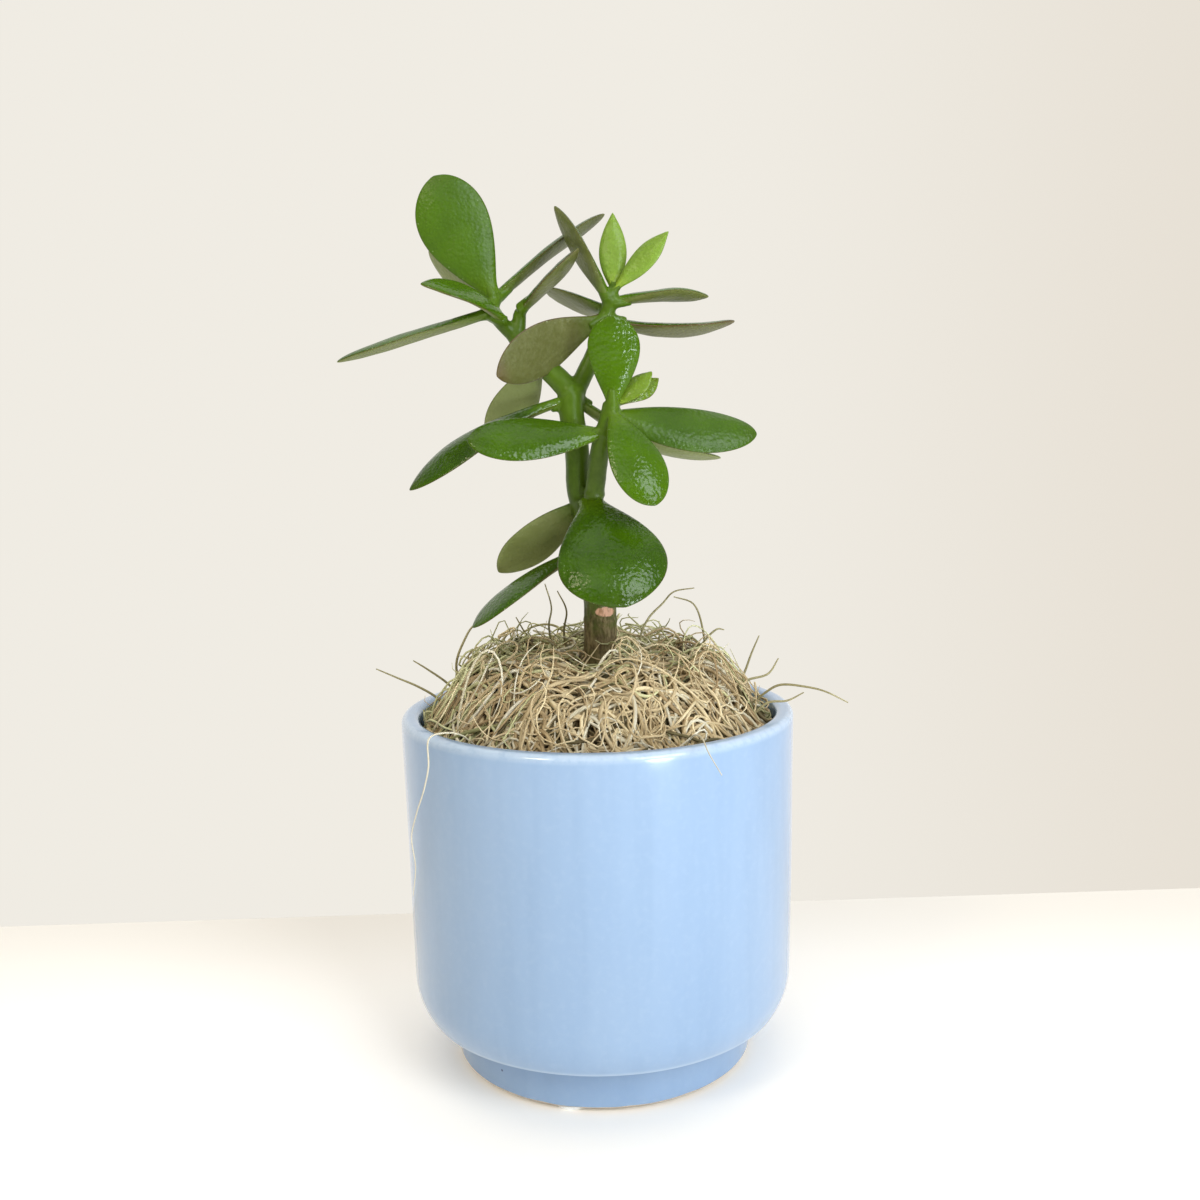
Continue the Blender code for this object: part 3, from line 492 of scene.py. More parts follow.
def tubes_mesh(name, strands, resolution, merged=True):
    """One mesh of closed tubes. Each strand is a list of (place, radius)."""
    curve = bpy.data.curves.new(name, "CURVE")
    curve.dimensions = "3D"
    curve.bevel_depth = 1.0
    curve.bevel_resolution = resolution
    curve.use_fill_caps = True
    for strand in strands:
        spline = curve.splines.new("POLY")
        spline.points.add(len(strand) - 1)
        for point, (place, radius) in zip(spline.points, strand):
            point.co = (*place, 1)
            point.radius = radius
    holder = bpy.data.objects.new(name + "_guide", curve)
    bpy.context.scene.collection.objects.link(holder)
    bpy.context.view_layer.update()
    graph = bpy.context.evaluated_depsgraph_get()
    mesh = bpy.data.meshes.new_from_object(holder.evaluated_get(graph))
    bpy.data.objects.remove(holder, do_unlink=True)
    bpy.data.curves.remove(curve)
    bm = bmesh.new()
    bm.from_mesh(mesh)
    bpy.data.meshes.remove(mesh)
    if merged:
        bmesh.ops.remove_doubles(bm, verts=bm.verts, dist=0.000001)
    return bm


def remeshed(name, bm, voxel, smoothing):
    """Overlapping closed bodies become one skin, with their joints softened."""
    mesh = bpy.data.meshes.new(name)
    bm.to_mesh(mesh)
    bm.free()
    holder = bpy.data.objects.new(name, mesh)
    bpy.context.scene.collection.objects.link(holder)
    remesh = holder.modifiers.new("skin", "REMESH")
    remesh.mode = "VOXEL"
    remesh.voxel_size = voxel
    bpy.context.view_layer.update()
    graph = bpy.context.evaluated_depsgraph_get()
    made = bpy.data.meshes.new_from_object(holder.evaluated_get(graph))
    bpy.data.objects.remove(holder, do_unlink=True)
    result = bmesh.new()
    result.from_mesh(made)
    for _ in range(smoothing):
        bmesh.ops.smooth_vert(result, verts=result.verts, factor=0.5, use_axis_x=True,
                              use_axis_y=True, use_axis_z=True)
    return result


def new_group(name, inputs, outputs):
    """An empty shader node group, with the labels of its sockets given by their kind."""
    tree = bpy.data.node_groups.new(name, "ShaderNodeTree")
    for in_out, kinds in (("INPUT", inputs), ("OUTPUT", outputs)):
        for kind, labels in kinds.items():
            for label in labels:
                tree.interface.new_socket(label, in_out=in_out, socket_type="NodeSocket" + kind)
    s = Shading(tree)
    return tree, s, s.node("NodeGroupInput").outputs, s.node("NodeGroupOutput").inputs


# Waxy skin, shared by stem and leaves: slow changes of tone, small mottles, a fine pebbled surface
# and tiny pale breathing pores.
WAXY_SKIN, s, given, result = new_group(
    "waxy_skin", {"Vector": ["Place"], "Float": ["Pebble Scale"]},
    {"Float": ["Tone", "Mottle", "Pebbles", "Pores"]})
s.put(result["Tone"], s.ranged(s.noise(given["Place"], 95, 2, 0.5), 0.3, 0.7))
s.put(result["Mottle"], s.ranged(s.noise(given["Place"], 520, 4, 0.6), 0.3, 0.7))
pebbles = s.node("ShaderNodeTexVoronoi", feature="SMOOTH_F1", in_Vector=given["Place"],
                 in_Scale=given["Pebble Scale"], in_Smoothness=0.7)
domed = s.times(s.math("SUBTRACT", 1.0, pebbles.outputs["Distance"]), 0.7)
softened = s.times(s.noise(given["Place"], 700, 2, 0.5), 0.5)
s.put(result["Pebbles"], s.math("ADD", domed, softened))
s.put(result["Pores"], s.ranged(s.cells(given["Place"], 720)["Distance"], 0.16, 0.08))


def make_stem_skin():
    """Green and waxy above; brown, corky and cracked where it is oldest, near the soil."""
    material, s, shader, place = new_material("green_stem_finish")
    skin = s.group(WAXY_SKIN, Place=place, Pebble_Scale=900.0)
    height = s.axes(place)["Z"]
    ragged = s.math("MULTIPLY_ADD", s.noise(place, 130, 4, 0.65), 22 * MM, height)
    bark = s.ranged(ragged, 166 * MM, 153 * MM)
    green = s.mix(s.ranged(height, 230 * MM, 160 * MM), STEM_GREEN, STEM_OLD_GREEN)
    green = s.mix(s.times(skin["Mottle"], 0.30), green, STEM_LIGHT_FLECK)
    green = s.mix(s.times(skin["Tone"], 0.35), green, STEM_DULL_GREEN)
    fissure = s.noise(s.vector_math("MULTIPLY", place, (1, 1, 0.35)), 620, 4, 0.65)
    plates = s.ranged(s.noise(place, 260, 3, 0.6), 0.45, 0.7, 0.0, 0.55)
    brown = s.mix(s.ranged(fissure, 0.35, 0.65), BARK_CRACK, BARK_RIDGE)
    color = s.mix(bark, green, s.mix(plates, brown, BARK_GREEN))
    offset = s.vector_math("SUBTRACT", place, FRESH_SCAR_PLACE)
    apart = s.vector_math("LENGTH", s.vector_math("MULTIPLY", offset, (1, 0.6, 1.9)))
    wobble = s.math("MULTIPLY_ADD", s.noise(place, 420, 3, 0.6), 3.0 * MM, apart)
    healing = s.mix(s.ranged(fissure, 0.4, 0.6), FRESH_SCAR, FRESH_SCAR_DARK)
    color = s.mix(s.ranged(wobble, 4.9 * MM, 4.2 * MM), color, healing)
    s.put(shader.inputs["Base Color"], color)
    s.put(shader.inputs["Roughness"], s.ranged(bark, 0.0, 1.0, 0.36, 0.85))
    shader.inputs["Specular IOR Level"].default_value = 0.24
    cracks = s.bump(s.times(fissure, bark), 0.9, 0.9 * MM)
    s.put(shader.inputs["Normal"], s.bump(skin["Pebbles"], 0.14, 0.25 * MM, cracks))
    return material


stem_strands = []
stem_curves = {}
for name, path in STEM_PATHS.items():
    count = 8 * len(path)
    spots = smooth_path([(x * MM, y * MM, z * MM) for x, y, z, r in path], count)
    widths = [spot.x for spot in smooth_path([(r * MM, 0, 0) for x, y, z, r in path], count)]
    stem_curves[name] = (spots, widths)
    uneven = [0.10 * MM * noise.noise(Vector((i * 0.35, len(name), 1.7))) for i in range(count)]
    onward = (spots[-1] - spots[-2]).normalized() * widths[-1]
    rounded_end = [(spots[-1] + onward * out, widths[-1] * narrow)
                   for out, narrow in ((0.15, 0.88), (0.28, 0.66), (0.36, 0.34))]
    strand = [(spot, width + u) for spot, width, u in zip(spots, widths, uneven)]
    stem_strands.append(strand + rounded_end)
for name, along in STEM_RINGS:
    spots, widths = stem_curves[name]
    k = max(1, min(len(spots) - 2, round(along * (len(spots) - 1))))
    step = (spots[k + 1] - spots[k - 1]).normalized() * RING_HALF_HEIGHT
    swollen, sunk = widths[k] + RING_RELIEF, widths[k] - 0.3 * MM
    stem_strands.append([(spots[k] + step * share, radius) for share, radius in
                         ((-2.4, sunk), (-0.6, swollen), (0.6, swollen), (2.4, sunk))])
for leaf in LEAVES.values():
    root = Vector(leaf["root"]) * MM
    nearest = min((pair for spots, widths in stem_curves.values() for pair in zip(spots, widths)),
                  key=lambda pair: (pair[0] - root).length)
    spot, width = nearest
    apart = (root - spot).length
    leaf["seat"] = spot.lerp(root, min(1, 0.45 * width / apart)) if apart > 0 else root
    axis = (Vector(leaf["tip"]) * MM - leaf["seat"]).normalized()
    thick = 1.12 * min(LEAF_STALK * leaf["width"], leaf.get("thick", LEAF_THICKNESS)) / 2 * MM
    stem_strands.append([(leaf["seat"] + axis * reach * MM, thick * (1.25 - 0.075 * reach))
                         for reach in (0, 1.5, 3, 4.5, 6)])
stem_bm = remeshed("stem_skin", tubes_mesh("stem_tubes", stem_strands, 6), STEM_VOXEL, 3)
for vert in stem_bm.verts:
    corky = min(1, max(0, (BARK_TOP - vert.co.z) / BARK_FADE))
    rough = noise.noise(Vector((vert.co.x * 900, vert.co.y * 900, vert.co.z * 260)))
    vert.co += vert.normal * (SKIN_RELIEF + BARK_RELIEF * corky) * rough * MM
add_piece("forked_stem", stem_bm, make_stem_skin(), "green_stem", "stem", sharp=180)


# The leaves grow in crosswise pairs. Each is a thick, firm, spoon-shaped blade of watery flesh
# under a waxy skin, glossy above and dull grey-green below, with a thin reddish margin. Each is
# shaped from a ball along its own axis, and its stalk ends in the skin of the stem.
LEAF_PEAK = 0.62
LEAF_ROUND = 0.6
LEAF_CUP = 0.05
LEAF_SIDES = 44
LEAF_RINGS = 40
LEAF_WAVE = 0.55 * MM
LEAF_DENT = 0.14 * MM
TIP_POINT = 0.22 * MM
TIP_POINT_WIDTH = 1.2 * MM
UNDERSIDE_GREY = (0.28, 0.34, 0.13)
UNDERSIDE_FLECK = (0.26, 0.30, 0.13)
UNDERSIDE_BLUSH = (0.125, 0.070, 0.036)
RED_BLUSH = (0.105, 0.042, 0.026)
RED_MARGIN = (0.120, 0.056, 0.028)
PORE_SPECK = (0.42, 0.52, 0.28)

LEAF_SKIN, s, given, result = new_group(
    "leaf_skin",
    {"Vector": ["Place"],
     "Float": ["Through", "Rim", "Along", "Tone", "Blush", "Pale", "Bloom"],
     "Color": ["Dark", "Light", "Under Dark", "Under Light", "Stalk"]},
    {"Color": ["Color"], "Float": ["Roughness", "Pebbles"]})
skin = s.group(WAXY_SKIN, Place=given["Place"], Pebble_Scale=880.0)
through, rim, along = given["Through"], given["Rim"], given["Along"]
blush, mottle = given["Blush"], skin["Mottle"]
drift = s.math("ADD", given["Tone"], s.times(s.math("SUBTRACT", skin["Tone"], 0.5), 0.35))
upper = s.mix(drift, given["Dark"], given["Light"])
upper = s.mix(s.times(mottle, 0.16), upper, given["Light"])
under = s.mix(drift, given["Under Dark"], given["Under Light"])
under = s.mix(s.times(given["Pale"], 0.6), under, UNDERSIDE_GREY)
under = s.mix(s.times(mottle, 0.18), under, UNDERSIDE_FLECK)
under = s.mix(s.times(blush, 0.22), under, UNDERSIDE_BLUSH)
color = s.mix(s.ranged(through, -0.35, 0.10), under, upper)
color = s.mix(s.times(s.ranged(along, 0.30, 0.02), 0.75), color, given["Stalk"])
red_rim = s.times(s.ranged(rim, 0.62, 0.98), blush)
red_tip = s.times(s.times(s.ranged(along, 0.86, 1.0), blush), 0.6)
color = s.mix(s.times(s.math("MAXIMUM", red_rim, red_tip), 0.8), color, RED_BLUSH)
margin = s.times(s.ranged(rim, 0.84, 0.98), s.ranged(along, 0.12, 0.40))
color = s.mix(s.times(margin, 0.75), color, RED_MARGIN)
pores = s.times(skin["Pores"], s.ranged(rim, 0.25, 0.75, 0.05, 0.85))
pores = s.times(pores, s.ranged(mottle, 0.25, 0.7))
s.put(result["Color"], s.mix(s.times(pores, 0.7), color, PORE_SPECK))
gloss = s.math("ADD", s.ranged(through, -0.3, 0.2, 0.40, 0.15), s.times(given["Bloom"], 0.20))
s.put(result["Roughness"], s.math("ADD", gloss, s.times(mottle, 0.08)))
s.put(result["Pebbles"], skin["Pebbles"])


def make_leaf_finish(name, dark, light, under_dark, under_light, stalk, flesh):
    """The leaf skin in its own greens, over flesh that lets a little light through."""
    material, s, shader, place = new_material(name)
    spot = s.axes(s.attribute("leaf_spot")["Vector"])
    look = s.axes(s.attribute("leaf_look")["Vector"])
    skin = s.group(LEAF_SKIN, Place=place, Through=spot["X"], Rim=spot["Y"], Along=spot["Z"],
                   Tone=look["X"], Blush=look["Y"], Pale=look["Z"],
                   Bloom=s.attribute("leaf_bloom")["Fac"], Dark=dark, Light=light,
                   Under_Dark=under_dark, Under_Light=under_light, Stalk=stalk)
    s.put(shader.inputs["Base Color"], skin["Color"])
    s.put(shader.inputs["Roughness"], skin["Roughness"])
    shader.inputs["Specular IOR Level"].default_value = 0.28
    shader.inputs["Subsurface Weight"].default_value = flesh
    shader.inputs["Subsurface Radius"].default_value = (0.6, 1.0, 0.2)
    shader.inputs["Subsurface Scale"].default_value = 1.2 * MM
    s.put(shader.inputs["Normal"], s.bump(skin["Pebbles"], 0.45, 0.50 * MM))
    return material


def blade(leaf, seed):
    """A leaf shaped along its own axis, which keeps its sides and looks as attributes."""
    root = leaf["seat"]
    tip = Vector(leaf["tip"]) * MM
    length = (tip - root).length
    axis = (tip - root).normalized()
    face = Vector(leaf["face"])
    face = (face - axis * face.dot(axis)).normalized()
    side = face.cross(axis)
    half_width = leaf["width"] * MM / 2
    half_thick = leaf.get("thick", LEAF_THICKNESS) * MM / 2
    bend = math.log(0.5) / math.log(leaf.get("peak", LEAF_PEAK))
    blunt = leaf.get("round", LEAF_ROUND)
    arch = leaf.get("arch", 0.0) * length
    sweep = leaf.get("sweep", 0.0) * length
    cup = leaf.get("cup", LEAF_CUP) * half_width
    bm = bmesh.new()
    bmesh.ops.create_uvsphere(bm, u_segments=LEAF_SIDES, v_segments=LEAF_RINGS, radius=1)
    spot = bm.verts.layers.float_vector.new("leaf_spot")
    look = bm.verts.layers.float_vector.new("leaf_look")
    bloom = bm.verts.layers.float.new("leaf_bloom")
    for vert in bm.verts:
        along = (vert.co.z + 1) / 2
        ring = math.hypot(vert.co.x, vert.co.y)
        outline = math.sin(math.pi * along ** bend) ** blunt if 0 < along < 1 else 0
        across = through = width = thick = 0
        if ring > 1e-6:
            across, through = vert.co.x / ring, vert.co.y / ring
            stalk = LEAF_STALK * (1 - along)
            width = half_width * (outline ** 3 + stalk ** 3) ** (1 / 3)
            thick = half_thick * math.sqrt(max(0, 1 - along ** 5))
        bow = 4 * along * (1 - along)
        off_side = across * width + sweep * bow
        fullness = math.copysign(abs(through) ** (1 + 0.35 * outline), through)
        lift = fullness * thick + arch * bow - cup * (across * width / half_width) ** 2
        point = math.exp(-(across * width / TIP_POINT_WIDTH) ** 2) if along > 0.95 else 0
        wave = noise.noise(Vector((along * 2.6, across * 0.9, seed))) * outline
        dent = noise.noise(Vector((along * 7, across * 2.5, seed + 9 + (through > 0))))
        lift += wave * LEAF_WAVE + dent * LEAF_DENT * abs(through)
        vert.co = root + axis * (length * along + point * TIP_POINT) + side * off_side + face * lift
        vert[spot] = (through, 1 - abs(through), along)
        vert[look] = (leaf.get("tone", 0.5), leaf.get("blush", 0.12), leaf.get("pale", 0.0))
        vert[bloom] = leaf.get("bloom", 0.0)
    bmesh.ops.recalc_face_normals(bm, faces=bm.faces)
    return bm


leaf_finish = make_leaf_finish(
    "leaf_green_finish", dark=(0.024, 0.064, 0.0008), light=(0.060, 0.138, 0.0012),
    under_dark=(0.082, 0.108, 0.016), under_light=(0.160, 0.185, 0.044),
    stalk=(0.090, 0.172, 0.004), flesh=0.04)
young_finish = make_leaf_finish(
    "young_leaf_green_finish", dark=(0.115, 0.185, 0.008), light=(0.215, 0.355, 0.045),
    under_dark=(0.130, 0.205, 0.016), under_light=(0.200, 0.320, 0.045),
    stalk=(0.270, 0.390, 0.030), flesh=0.10)
for number, (name, leaf) in enumerate(LEAVES.items()):
    is_young = leaf.get("young", False)
    add_piece(f"blade_{name}", blade(leaf, number * 3.7), young_finish if is_young else leaf_finish,
              "young_leaf_green" if is_young else "leaf_green", f"leaf_{name}", sharp=180)


# Dried curly moss dresses the soil: thin tan and grey-green strands, laid in by hand as a loose
# tangle over a denser mat, heaped highest at the back left. The lowest strands, some of the top
# ones and a sheet under them are painted dark, as the shade down in the tangle. Single strands
# stand out of it and hang over the rim; the places along these are in mm.
MAT_EDGE_RADIUS = 56 * MM
MAT_EDGE_HEIGHT = 113 * MM
MAT_TOP_RADIUS = 34 * MM
MAT_TOP_HEIGHT = 132.5 * MM
MAT_LEAN = (-0.035, 0.06)
MAT_HOLE_RADIUS = 6.4 * MM
MAT_LUMPS = 5 * MM
MAT_UNDER_STRANDS = 5.0 * MM
MOSS_SEED = 5
STRAND_STEP = 2.2 * MM
STRAND_COUNTS = {"deep": 850, "top": 640, "rising": 420}
STRAND_DEPTHS = {"deep": (-5.2, -1.8), "top": (-1.8, 1.0), "rising": (-1, 1)}
LOOPED_SHARE = 0.6
PALE_SHARE = 0.16
TOP_PAINTED_SHADE_SHARE = 0.12
TAN_FROM = 0.08
LOOSE_THICKNESS = 0.46 * MM
LOOSE_PALE_THICKNESS = 0.28 * MM
PALE_STRANDS = ("left_over_rim", "front_over_rim")
LOOSE_STRANDS = {
    "right_long": [(50, -8, 118), (55, -10, 123), (60, -12, 126), (68, -14, 125.5), (74, -15, 124),
                   (81, -16, 120.5)],
    "right_short": [(50, -14, 116), (55, -16, 121), (61, -18, 122), (66, -20, 125)],
    "right_back": [(46, 12, 116), (51, 16, 124), (54, 18, 131), (57, 20, 137)],
    "right_hook": [(46, 2, 118), (50, 4, 124), (58, 6, 126), (62, 8, 131)],
    "left_long": [(-48, 0, 116), (-54, -1, 122), (-60, -2, 126), (-66, -3, 129), (-73, -4, 132.5)],
    "left_back": [(-46, 16, 116), (-52, 16, 123), (-59, 17, 128), (-64, 18, 131)],
    "left_arch": [(-44, 8, 117), (-48, 9, 130), (-44, 8, 141), (-40, 6, 146), (-36, 6, 149)],
    "dark_twig": [(-10, 22, 121), (-17, 22, 130), (-24, 22, 138), (-28, 22, 145)],
    "tall_left": [(-9, 10, 124), (-14, 10, 134), (-16, 10, 143), (-15, 10, 150), (-17, 10, 158)],
    "tall_left_pair": [(-7, 14, 124), (-11, 14, 139), (-10, 14, 148), (-13, 14, 155)],
    "tall_right": [(14, 10, 124), (15, 11, 138), (18, 12, 145), (23, 13, 150), (27, 13, 154),
                   (34, 14, 155)],
    "hooked_right": [(38, 16, 118), (38, 16, 128), (37, 16, 140), (34, 16, 149), (27, 15, 152)],
    "far_right_hook": [(30, 20, 122), (37, 21, 134), (42, 22, 139), (45, 22, 139)],
    "back_loop": [(-4, 34, 120), (-12, 38, 137), (-22, 40, 139), (-30, 38, 133), (-34, 32, 124)],
    "back_loop_right": [(10, 36, 120), (18, 40, 134), (28, 38, 135), (36, 30, 124)],
    "back_over_rim": [(-12, 46, 114), (-13, 53, 121), (-14, 62, 122), (-15, 70, 118)],
    "back_right_tip": [(26, 40, 116), (30, 46, 123), (36, 52, 127), (41, 56, 126)],
    "front_over_rim": [(26, -46, 114), (28, -52, 119.5), (30, -60, 121), (31.5, -66, 118),
                       (35, -68, 112)],
    "left_over_rim": [(-36, -38, 113), (-41, -43, 119), (-46, -48, 121), (-50, -50, 119.5),
                      (-50, -52, 112), (-52, -50.5, 104), (-55, -46, 96), (-57.5, -42, 87),
                      (-56.5, -43, 78), (-58, -40.5, 68)],
}
MOSS_COLORS = {
    # The deep palette is painted shade: dark browns for strands down in the tangle, where shade
    # falls.
    "deep": dict(Pale=(0.20, 0.155, 0.075), Deep=(0.07, 0.052, 0.024),
                 Patched=(0.11, 0.10, 0.045), Scaled=(0.035, 0.025, 0.012)),
    "tan": dict(Pale=(0.80, 0.68, 0.43), Deep=(0.27, 0.180, 0.085),
                Patched=(0.48, 0.37, 0.20), Scaled=(0.30, 0.21, 0.11)),
    "olive": dict(Pale=(0.70, 0.69, 0.40), Deep=(0.25, 0.25, 0.11),
                  Patched=(0.52, 0.50, 0.26), Scaled=(0.24, 0.20, 0.11)),
    "pale": dict(Pale=(0.74, 0.69, 0.53), Deep=(0.52, 0.47, 0.33),
                 Patched=(0.66, 0.62, 0.50), Scaled=(0.42, 0.36, 0.26)),
    "stray": dict(Pale=(0.40, 0.36, 0.20), Deep=(0.20, 0.175, 0.08),
                  Patched=(0.30, 0.26, 0.13), Scaled=(0.24, 0.19, 0.10)),
}


def mat_height(x, y):
    """How high the moss mat is at a place."""
    rise = (MAT_EDGE_RADIUS - math.hypot(x, y)) / (MAT_EDGE_RADIUS - MAT_TOP_RADIUS)
    heaped = math.sin(min(1, max(0, rise)) * math.pi / 2)
    top = MAT_TOP_HEIGHT - MAT_EDGE_HEIGHT + x * MAT_LEAN[0] + y * MAT_LEAN[1]
    lump = noise.noise(Vector((x * 55, y * 55, 3.1))) * MAT_LUMPS * (0.4 + 0.6 * heaped)
    return MAT_EDGE_HEIGHT + top * heaped + lump


def laid_strand(draw, depth, kind):
    """A strand that winds over the mat in loose curls; a rising one lifts its far end free."""
    rising = kind == "rising"
    radius = MAT_EDGE_RADIUS * math.sqrt(draw.uniform(0.02, 1.0))
    place = draw.uniform(0, 2 * math.pi)
    x, y = radius * math.cos(place), radius * math.sin(place)
    heading = place + math.pi / 2 * draw.choice((-1, 1)) + draw.uniform(-0.6, 0.6)
    if rising:
        curl_radius = draw.uniform(3, 10)
    else:
        curl_radius = draw.choice((draw.uniform(3, 8), draw.uniform(14, 40)))
    curl = STRAND_STEP / (curl_radius * MM) * draw.choice((-1, 1))
    drift = draw.uniform(-0.03, 0.03) if rising else draw.uniform(-0.010, 0.010)
    count = draw.randint(10, 22) if rising else draw.randint(14, 34)
    thick = draw.uniform(0.22, 0.40) * MM if rising else draw.uniform(0.40, 0.72) * MM
    waves = draw.uniform(0.5, 2.4)
    phase = draw.uniform(0, 2 * math.pi)
    swing = draw.uniform(0.4, 1.6 if kind == "deep" else 2.6) * MM
    lifted = draw.uniform(1, 12) * MM if rising else draw.uniform(-2.0, 1.5) * MM
    looped = draw.random() < LOOPED_SHARE
    path = []
    for i in range(count):
        share = i / (count - 1)
        reach = max(0.001, math.hypot(x, y))
        held = min(RIM_INNER_RADIUS - 1.3 * MM, max(MAT_HOLE_RADIUS + 0.6 * MM, reach))
        if held != reach:
            heading += 0.4 if curl > 0 else -0.4
        x, y = x * held / reach, y * held / reach
        z = mat_height(x, y) + depth + swing * math.sin(phase + waves * 2 * math.pi * share)
        if looped:
            z += lifted * (0.7 * math.sin(math.pi * share))
        else:
            z += lifted * max(0, (share - 0.35) / 0.65) ** 1.5
        taper = min(1, 0.6 + 3.5 * share) * (1 - 0.7 * share ** 5)
        path.append((Vector((x, y, z)), thick * taper))
        x += STRAND_STEP * math.cos(heading)
        y += STRAND_STEP * math.sin(heading)
        curl += drift
        heading += curl
    return path


def add_strands(name, strands, material, draw, resolution):
    """Many strands in one piece, with a tint that differs from strand to strand."""
    bm = tubes_mesh(name, strands, resolution, merged=False)
    ring = 4 + 2 * resolution
    tint = bm.verts.layers.float.new("strand_tint")
    bm.verts.ensure_lookup_table()
    start = 0
    for strand in strands:
        shade = draw.random()
        end = start + (len(strand) + 2) * ring
        for i in range(start, end):
            bm.verts[i][tint] = shade
        start = end
    add_piece(name, bm, material, "dried_moss", "dressing_moss", sharp=180)


# A dry strand is dull and faintly scaly, patched with a second colour, and each strand has a tint
# of its own.
DRY_STRAND, s, given, result = new_group(
    "dry_strand",
    {"Vector": ["Place"], "Float": ["Tint"], "Color": ["Pale", "Deep", "Patched", "Scaled"]},
    {"Color": ["Color"], "Float": ["Scales"]})
color = s.mix(given["Tint"], given["Pale"], given["Deep"])
patches = s.ranged(s.noise(given["Place"], 55, 2, 0.5), 0.42, 0.66, 0.0, 0.65)
color = s.mix(patches, color, given["Patched"])
scales = s.noise(given["Place"], 1500, 3, 0.65)
s.put(result["Color"], s.mix(s.ranged(scales, 0.48, 0.75, 0.0, 0.35), color, given["Scaled"]))
s.put(result["Scales"], scales)

moss_finishes = {}
for name, colors in MOSS_COLORS.items():
    moss_finishes[name], s, shader, place = new_material(f"{name}_moss_finish")
    tint = s.attribute("strand_tint")["Fac"]
    dry = s.group(DRY_STRAND, Place=place, Tint=tint, **colors)
    s.put(shader.inputs["Base Color"], dry["Color"])
    shader.inputs["Roughness"].default_value = 0.8
    shader.inputs["Specular IOR Level"].default_value = 0.25
    s.put(shader.inputs["Normal"], s.bump(dry["Scales"], 0.4, 0.15 * MM))

# A dark sheet under the strands, in the painted shade palette, makes the gaps in the tangle look
# shaded.
painted_shade_sheet_profile = [((RIM_INNER_RADIUS - 3 * MM) * (1 - i / 24), MAT_TOP_HEIGHT) for i in range(25)]
painted_shade_sheet_bm = spun(painted_shade_sheet_profile, 96)
for vert in painted_shade_sheet_bm.verts:
    lump = noise.noise(Vector((vert.co.x, vert.co.y, 0)) * 300) * 2.2 * MM
    vert.co.z = mat_height(vert.co.x, vert.co.y) - MAT_UNDER_STRANDS + lump
add_piece("moss_depths_painted_shade", painted_shade_sheet_bm, moss_finishes["deep"], "dried_moss", "dressing_moss", sharp=180)

draw = random.Random(MOSS_SEED)
moss = {name: [] for name in MOSS_COLORS}
for kind in [kind for kind, count in STRAND_COUNTS.items() for _ in range(count)]:
    strand = laid_strand(draw, draw.uniform(*STRAND_DEPTHS[kind]) * MM, kind)
    middle = strand[len(strand) // 2][0]
    toward = (0.3 * middle.x - middle.y) / (50 * MM) + draw.uniform(-0.75, 0.75)
    color = "tan" if toward > TAN_FROM else "olive"
    # The lowest strands and a share of the top ones take the dark palette of painted shade.
    if kind == "deep" or (kind == "top" and draw.random() < TOP_PAINTED_SHADE_SHARE):
        color = "deep"
    if kind != "deep" and draw.random() < PALE_SHARE:
        color = "pale"
    moss[color].append(strand)
for name, points in LOOSE_STRANDS.items():
    is_pale = name in PALE_STRANDS
    spots = smooth_path([(x * MM, y * MM, z * MM) for x, y, z in points], 6 * len(points))
    spots[0].z = mat_height(spots[0].x, spots[0].y) - 4 * MM
    thick = LOOSE_PALE_THICKNESS if is_pale else LOOSE_THICKNESS
    strand = [(spot, thick * (1 - 0.6 * (i / len(spots)) ** 2)) for i, spot in enumerate(spots)]
    moss["pale" if is_pale else "stray"].append(strand)
for name, strands in moss.items():
    add_strands(f"moss_{name}_strands", strands, moss_finishes[name], draw,
                0 if name == "deep" else 1)


# The stage is a plain white floor, darker toward its back edge, that ends a little behind the pot,
# before a warm white backdrop with painted shade that darkens it toward the right, under soft
# light: a large cool window at the right, a warm lamp at the left, a weak fill and a ceiling of
# light. The floor glows faintly, as painted light that fills the shadows on it. A softbox has its
# place, target and size in m, power in W, colour and spread.
FLOOR_WIDTH = 4
FLOOR_BACK = 0.118
FLOOR_FRONT = -2.5
FLOOR_SKEW = -0.03
FLOOR_TONES = ((0.965, 0.935, 0.885), (0.98, 0.955, 0.91))
FLOOR_BACK_TONE = (0.80, 0.765, 0.70)
FLOOR_GLOW = (1.0, 0.95, 0.88, 1)
WORLD_SEEN = (0.870, 0.838, 0.770)
WORLD_SEEN_SHADED_RIGHT = (0.790, 0.735, 0.650)
WORLD_LIGHT = (1.0, 0.975, 0.94)
WORLD_STRENGTH = (0.20, 0.95)
SOFTBOXES = {
    "window_right": ((0.60, -0.80, 0.74), (0, 0, 0.15), 0.56, 8.0, (0.90, 0.95, 1.0), 180),
    "low_window_right": ((0.34, -0.54, 0.08), (0, 0, 0.15), 0.14, 0.14, (0.86, 0.94, 1.0), 50),
    "warm_lamp_left": ((-0.46, -0.58, 0.69), (0, 0, 0.16), 0.20, 1.6, (1.0, 0.86, 0.62), 180),
    "front_fill": ((-0.35, -1.1, 1.1), (0, 0, 0.1), 0.9, 3.0, (1.0, 0.98, 0.95), 180),
    "overhead": ((0.0, 0.1, 1.2), (0, 0, 0.1), 1.2, 3.6, (1.0, 0.99, 0.97), 180),
}

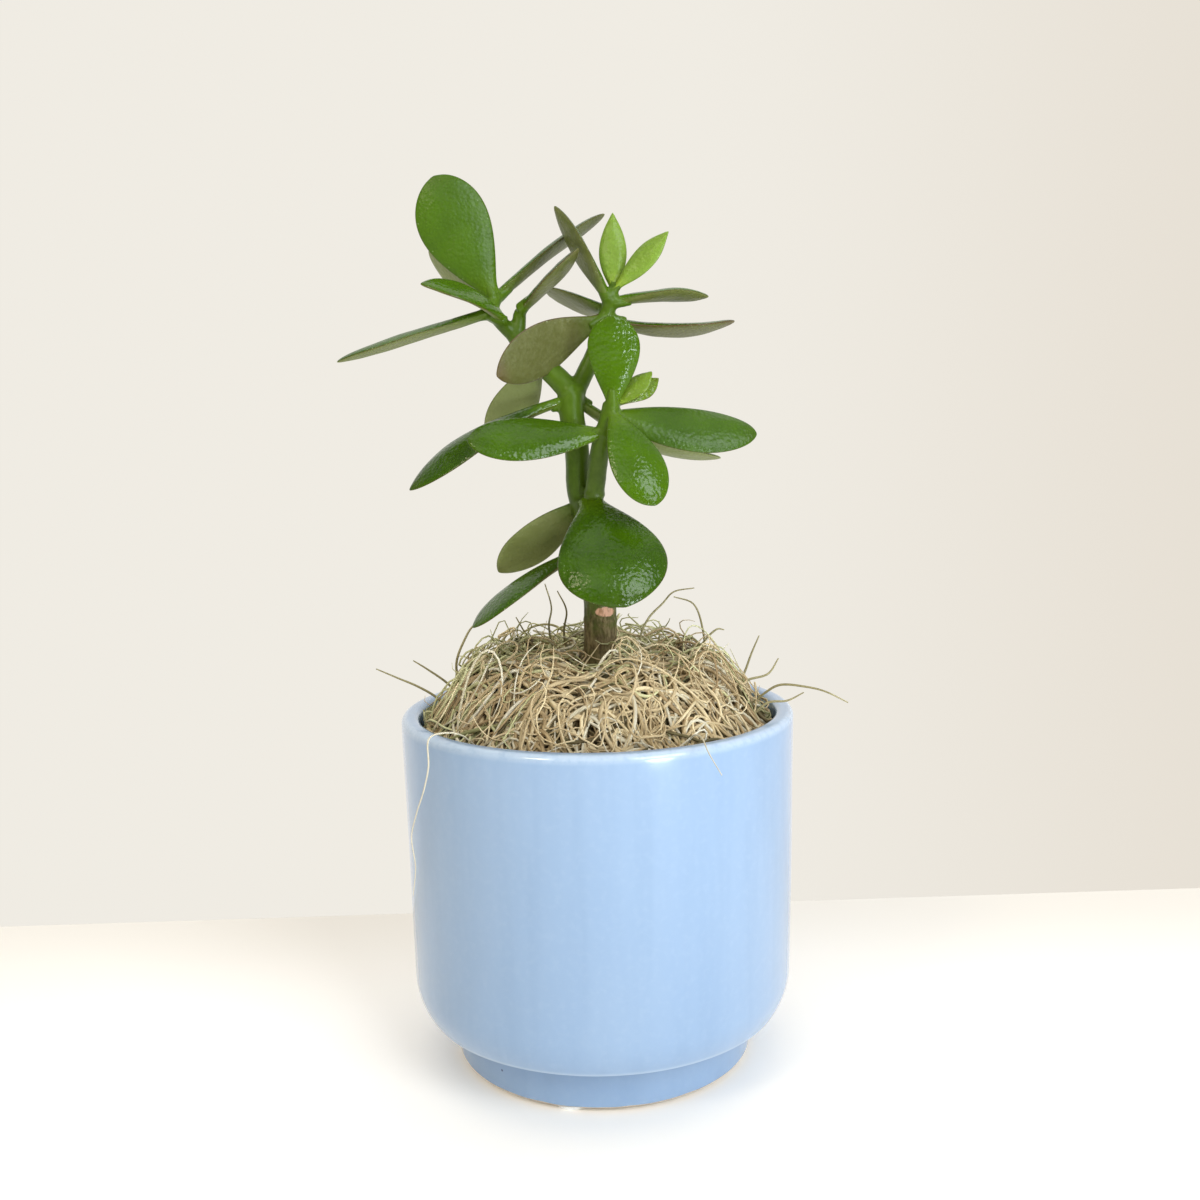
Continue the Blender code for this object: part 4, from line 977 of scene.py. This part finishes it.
floor_bm = bmesh.new()
bmesh.ops.create_grid(floor_bm, x_segments=2, y_segments=2, size=1)
bmesh.ops.scale(floor_bm, vec=(FLOOR_WIDTH / 2, (FLOOR_BACK - FLOOR_FRONT) / 2, 1),
                verts=floor_bm.verts)
bmesh.ops.translate(floor_bm, vec=(0, (FLOOR_BACK + FLOOR_FRONT) / 2, 0), verts=floor_bm.verts)
for vert in floor_bm.verts:
    vert.co.y -= vert.co.x * FLOOR_SKEW
floor_mesh = bpy.data.meshes.new("floor")
floor_bm.to_mesh(floor_mesh)
floor_bm.free()
floor_material, s, shader, place = new_material("floor_finish")
grain = s.mix(s.ranged(s.noise(place, 6, 3, 0.5), 0.3, 0.7), *FLOOR_TONES)
backward = s.ranged(s.axes(place)["Y"], 0.0, FLOOR_BACK)
s.put(shader.inputs["Base Color"], s.mix(backward, grain, FLOOR_BACK_TONE))
shader.inputs["Roughness"].default_value = 0.7
# The floor's faint glow is painted light, filling the shadows on the floor.
shader.inputs["Emission Color"].default_value = FLOOR_GLOW
shader.inputs["Emission Strength"].default_value = 0.10
floor_mesh.materials.append(floor_material)
floor = bpy.data.objects.new("floor", floor_mesh)
bpy.context.scene.collection.objects.link(floor)

world = bpy.data.worlds.new("studio")
world.use_nodes = True
bpy.context.scene.world = world
s = Shading(world.node_tree)
axes = s.axes(s.node("ShaderNodeTexCoord").outputs["Generated"])
is_seen = s.node("ShaderNodeLightPath").outputs["Is Camera Ray"]
# The backdrop is painted darker toward the right, as shade on it.
backdrop_painted_shade_color = s.mix(s.ranged(axes["X"], 0.05, 0.55), WORLD_SEEN, WORLD_SEEN_SHADED_RIGHT)
behind = s.ranged(axes["Y"], -0.35, 0.45, *WORLD_STRENGTH)
background = world.node_tree.nodes["Background"]
s.put(background.inputs["Color"], s.mix(is_seen, WORLD_LIGHT, backdrop_painted_shade_color))
s.put(background.inputs["Strength"], s.blend(is_seen, behind, 1.0))

for name, (place, target, size, power, color, spread) in SOFTBOXES.items():
    light = bpy.data.lights.new(name, "AREA")
    light.shape = "SQUARE"
    light.size = size
    light.energy = power
    light.color = color
    light.spread = math.radians(spread)
    holder = bpy.data.objects.new(name, light)
    aim = (Vector(target) - Vector(place)).to_track_quat("-Z", "Y").to_matrix().to_4x4()
    holder.matrix_world = Matrix.Translation(place) @ aim
    bpy.context.scene.collection.objects.link(holder)


# The camera looks down at the pot a little, from just over its rim, with the slight lean of a
# hand-held picture.
FRAME_WIDTH = 1200
FOCAL_IN_PIXELS = 1240
SENSOR_WIDTH = 36
CAMERA_PLACE = (1.6 * MM, -408 * MM, 208.9 * MM)
CAMERA_TILT = 7.744
CAMERA_LEAN = -1.193

camera_data = bpy.data.cameras.new("camera")
camera_data.sensor_width = SENSOR_WIDTH
camera_data.lens = SENSOR_WIDTH * FOCAL_IN_PIXELS / FRAME_WIDTH
camera_data.clip_start = 0.01
camera = bpy.data.objects.new("camera", camera_data)
look = Matrix.Rotation(math.radians(90 - CAMERA_TILT), 4, "X")
lean = Matrix.Rotation(math.radians(CAMERA_LEAN), 4, "Z")
camera.matrix_world = Matrix.Translation(CAMERA_PLACE) @ look @ lean
bpy.context.scene.collection.objects.link(camera)
bpy.context.scene.camera = camera
bpy.context.scene.view_settings.view_transform = "Standard"
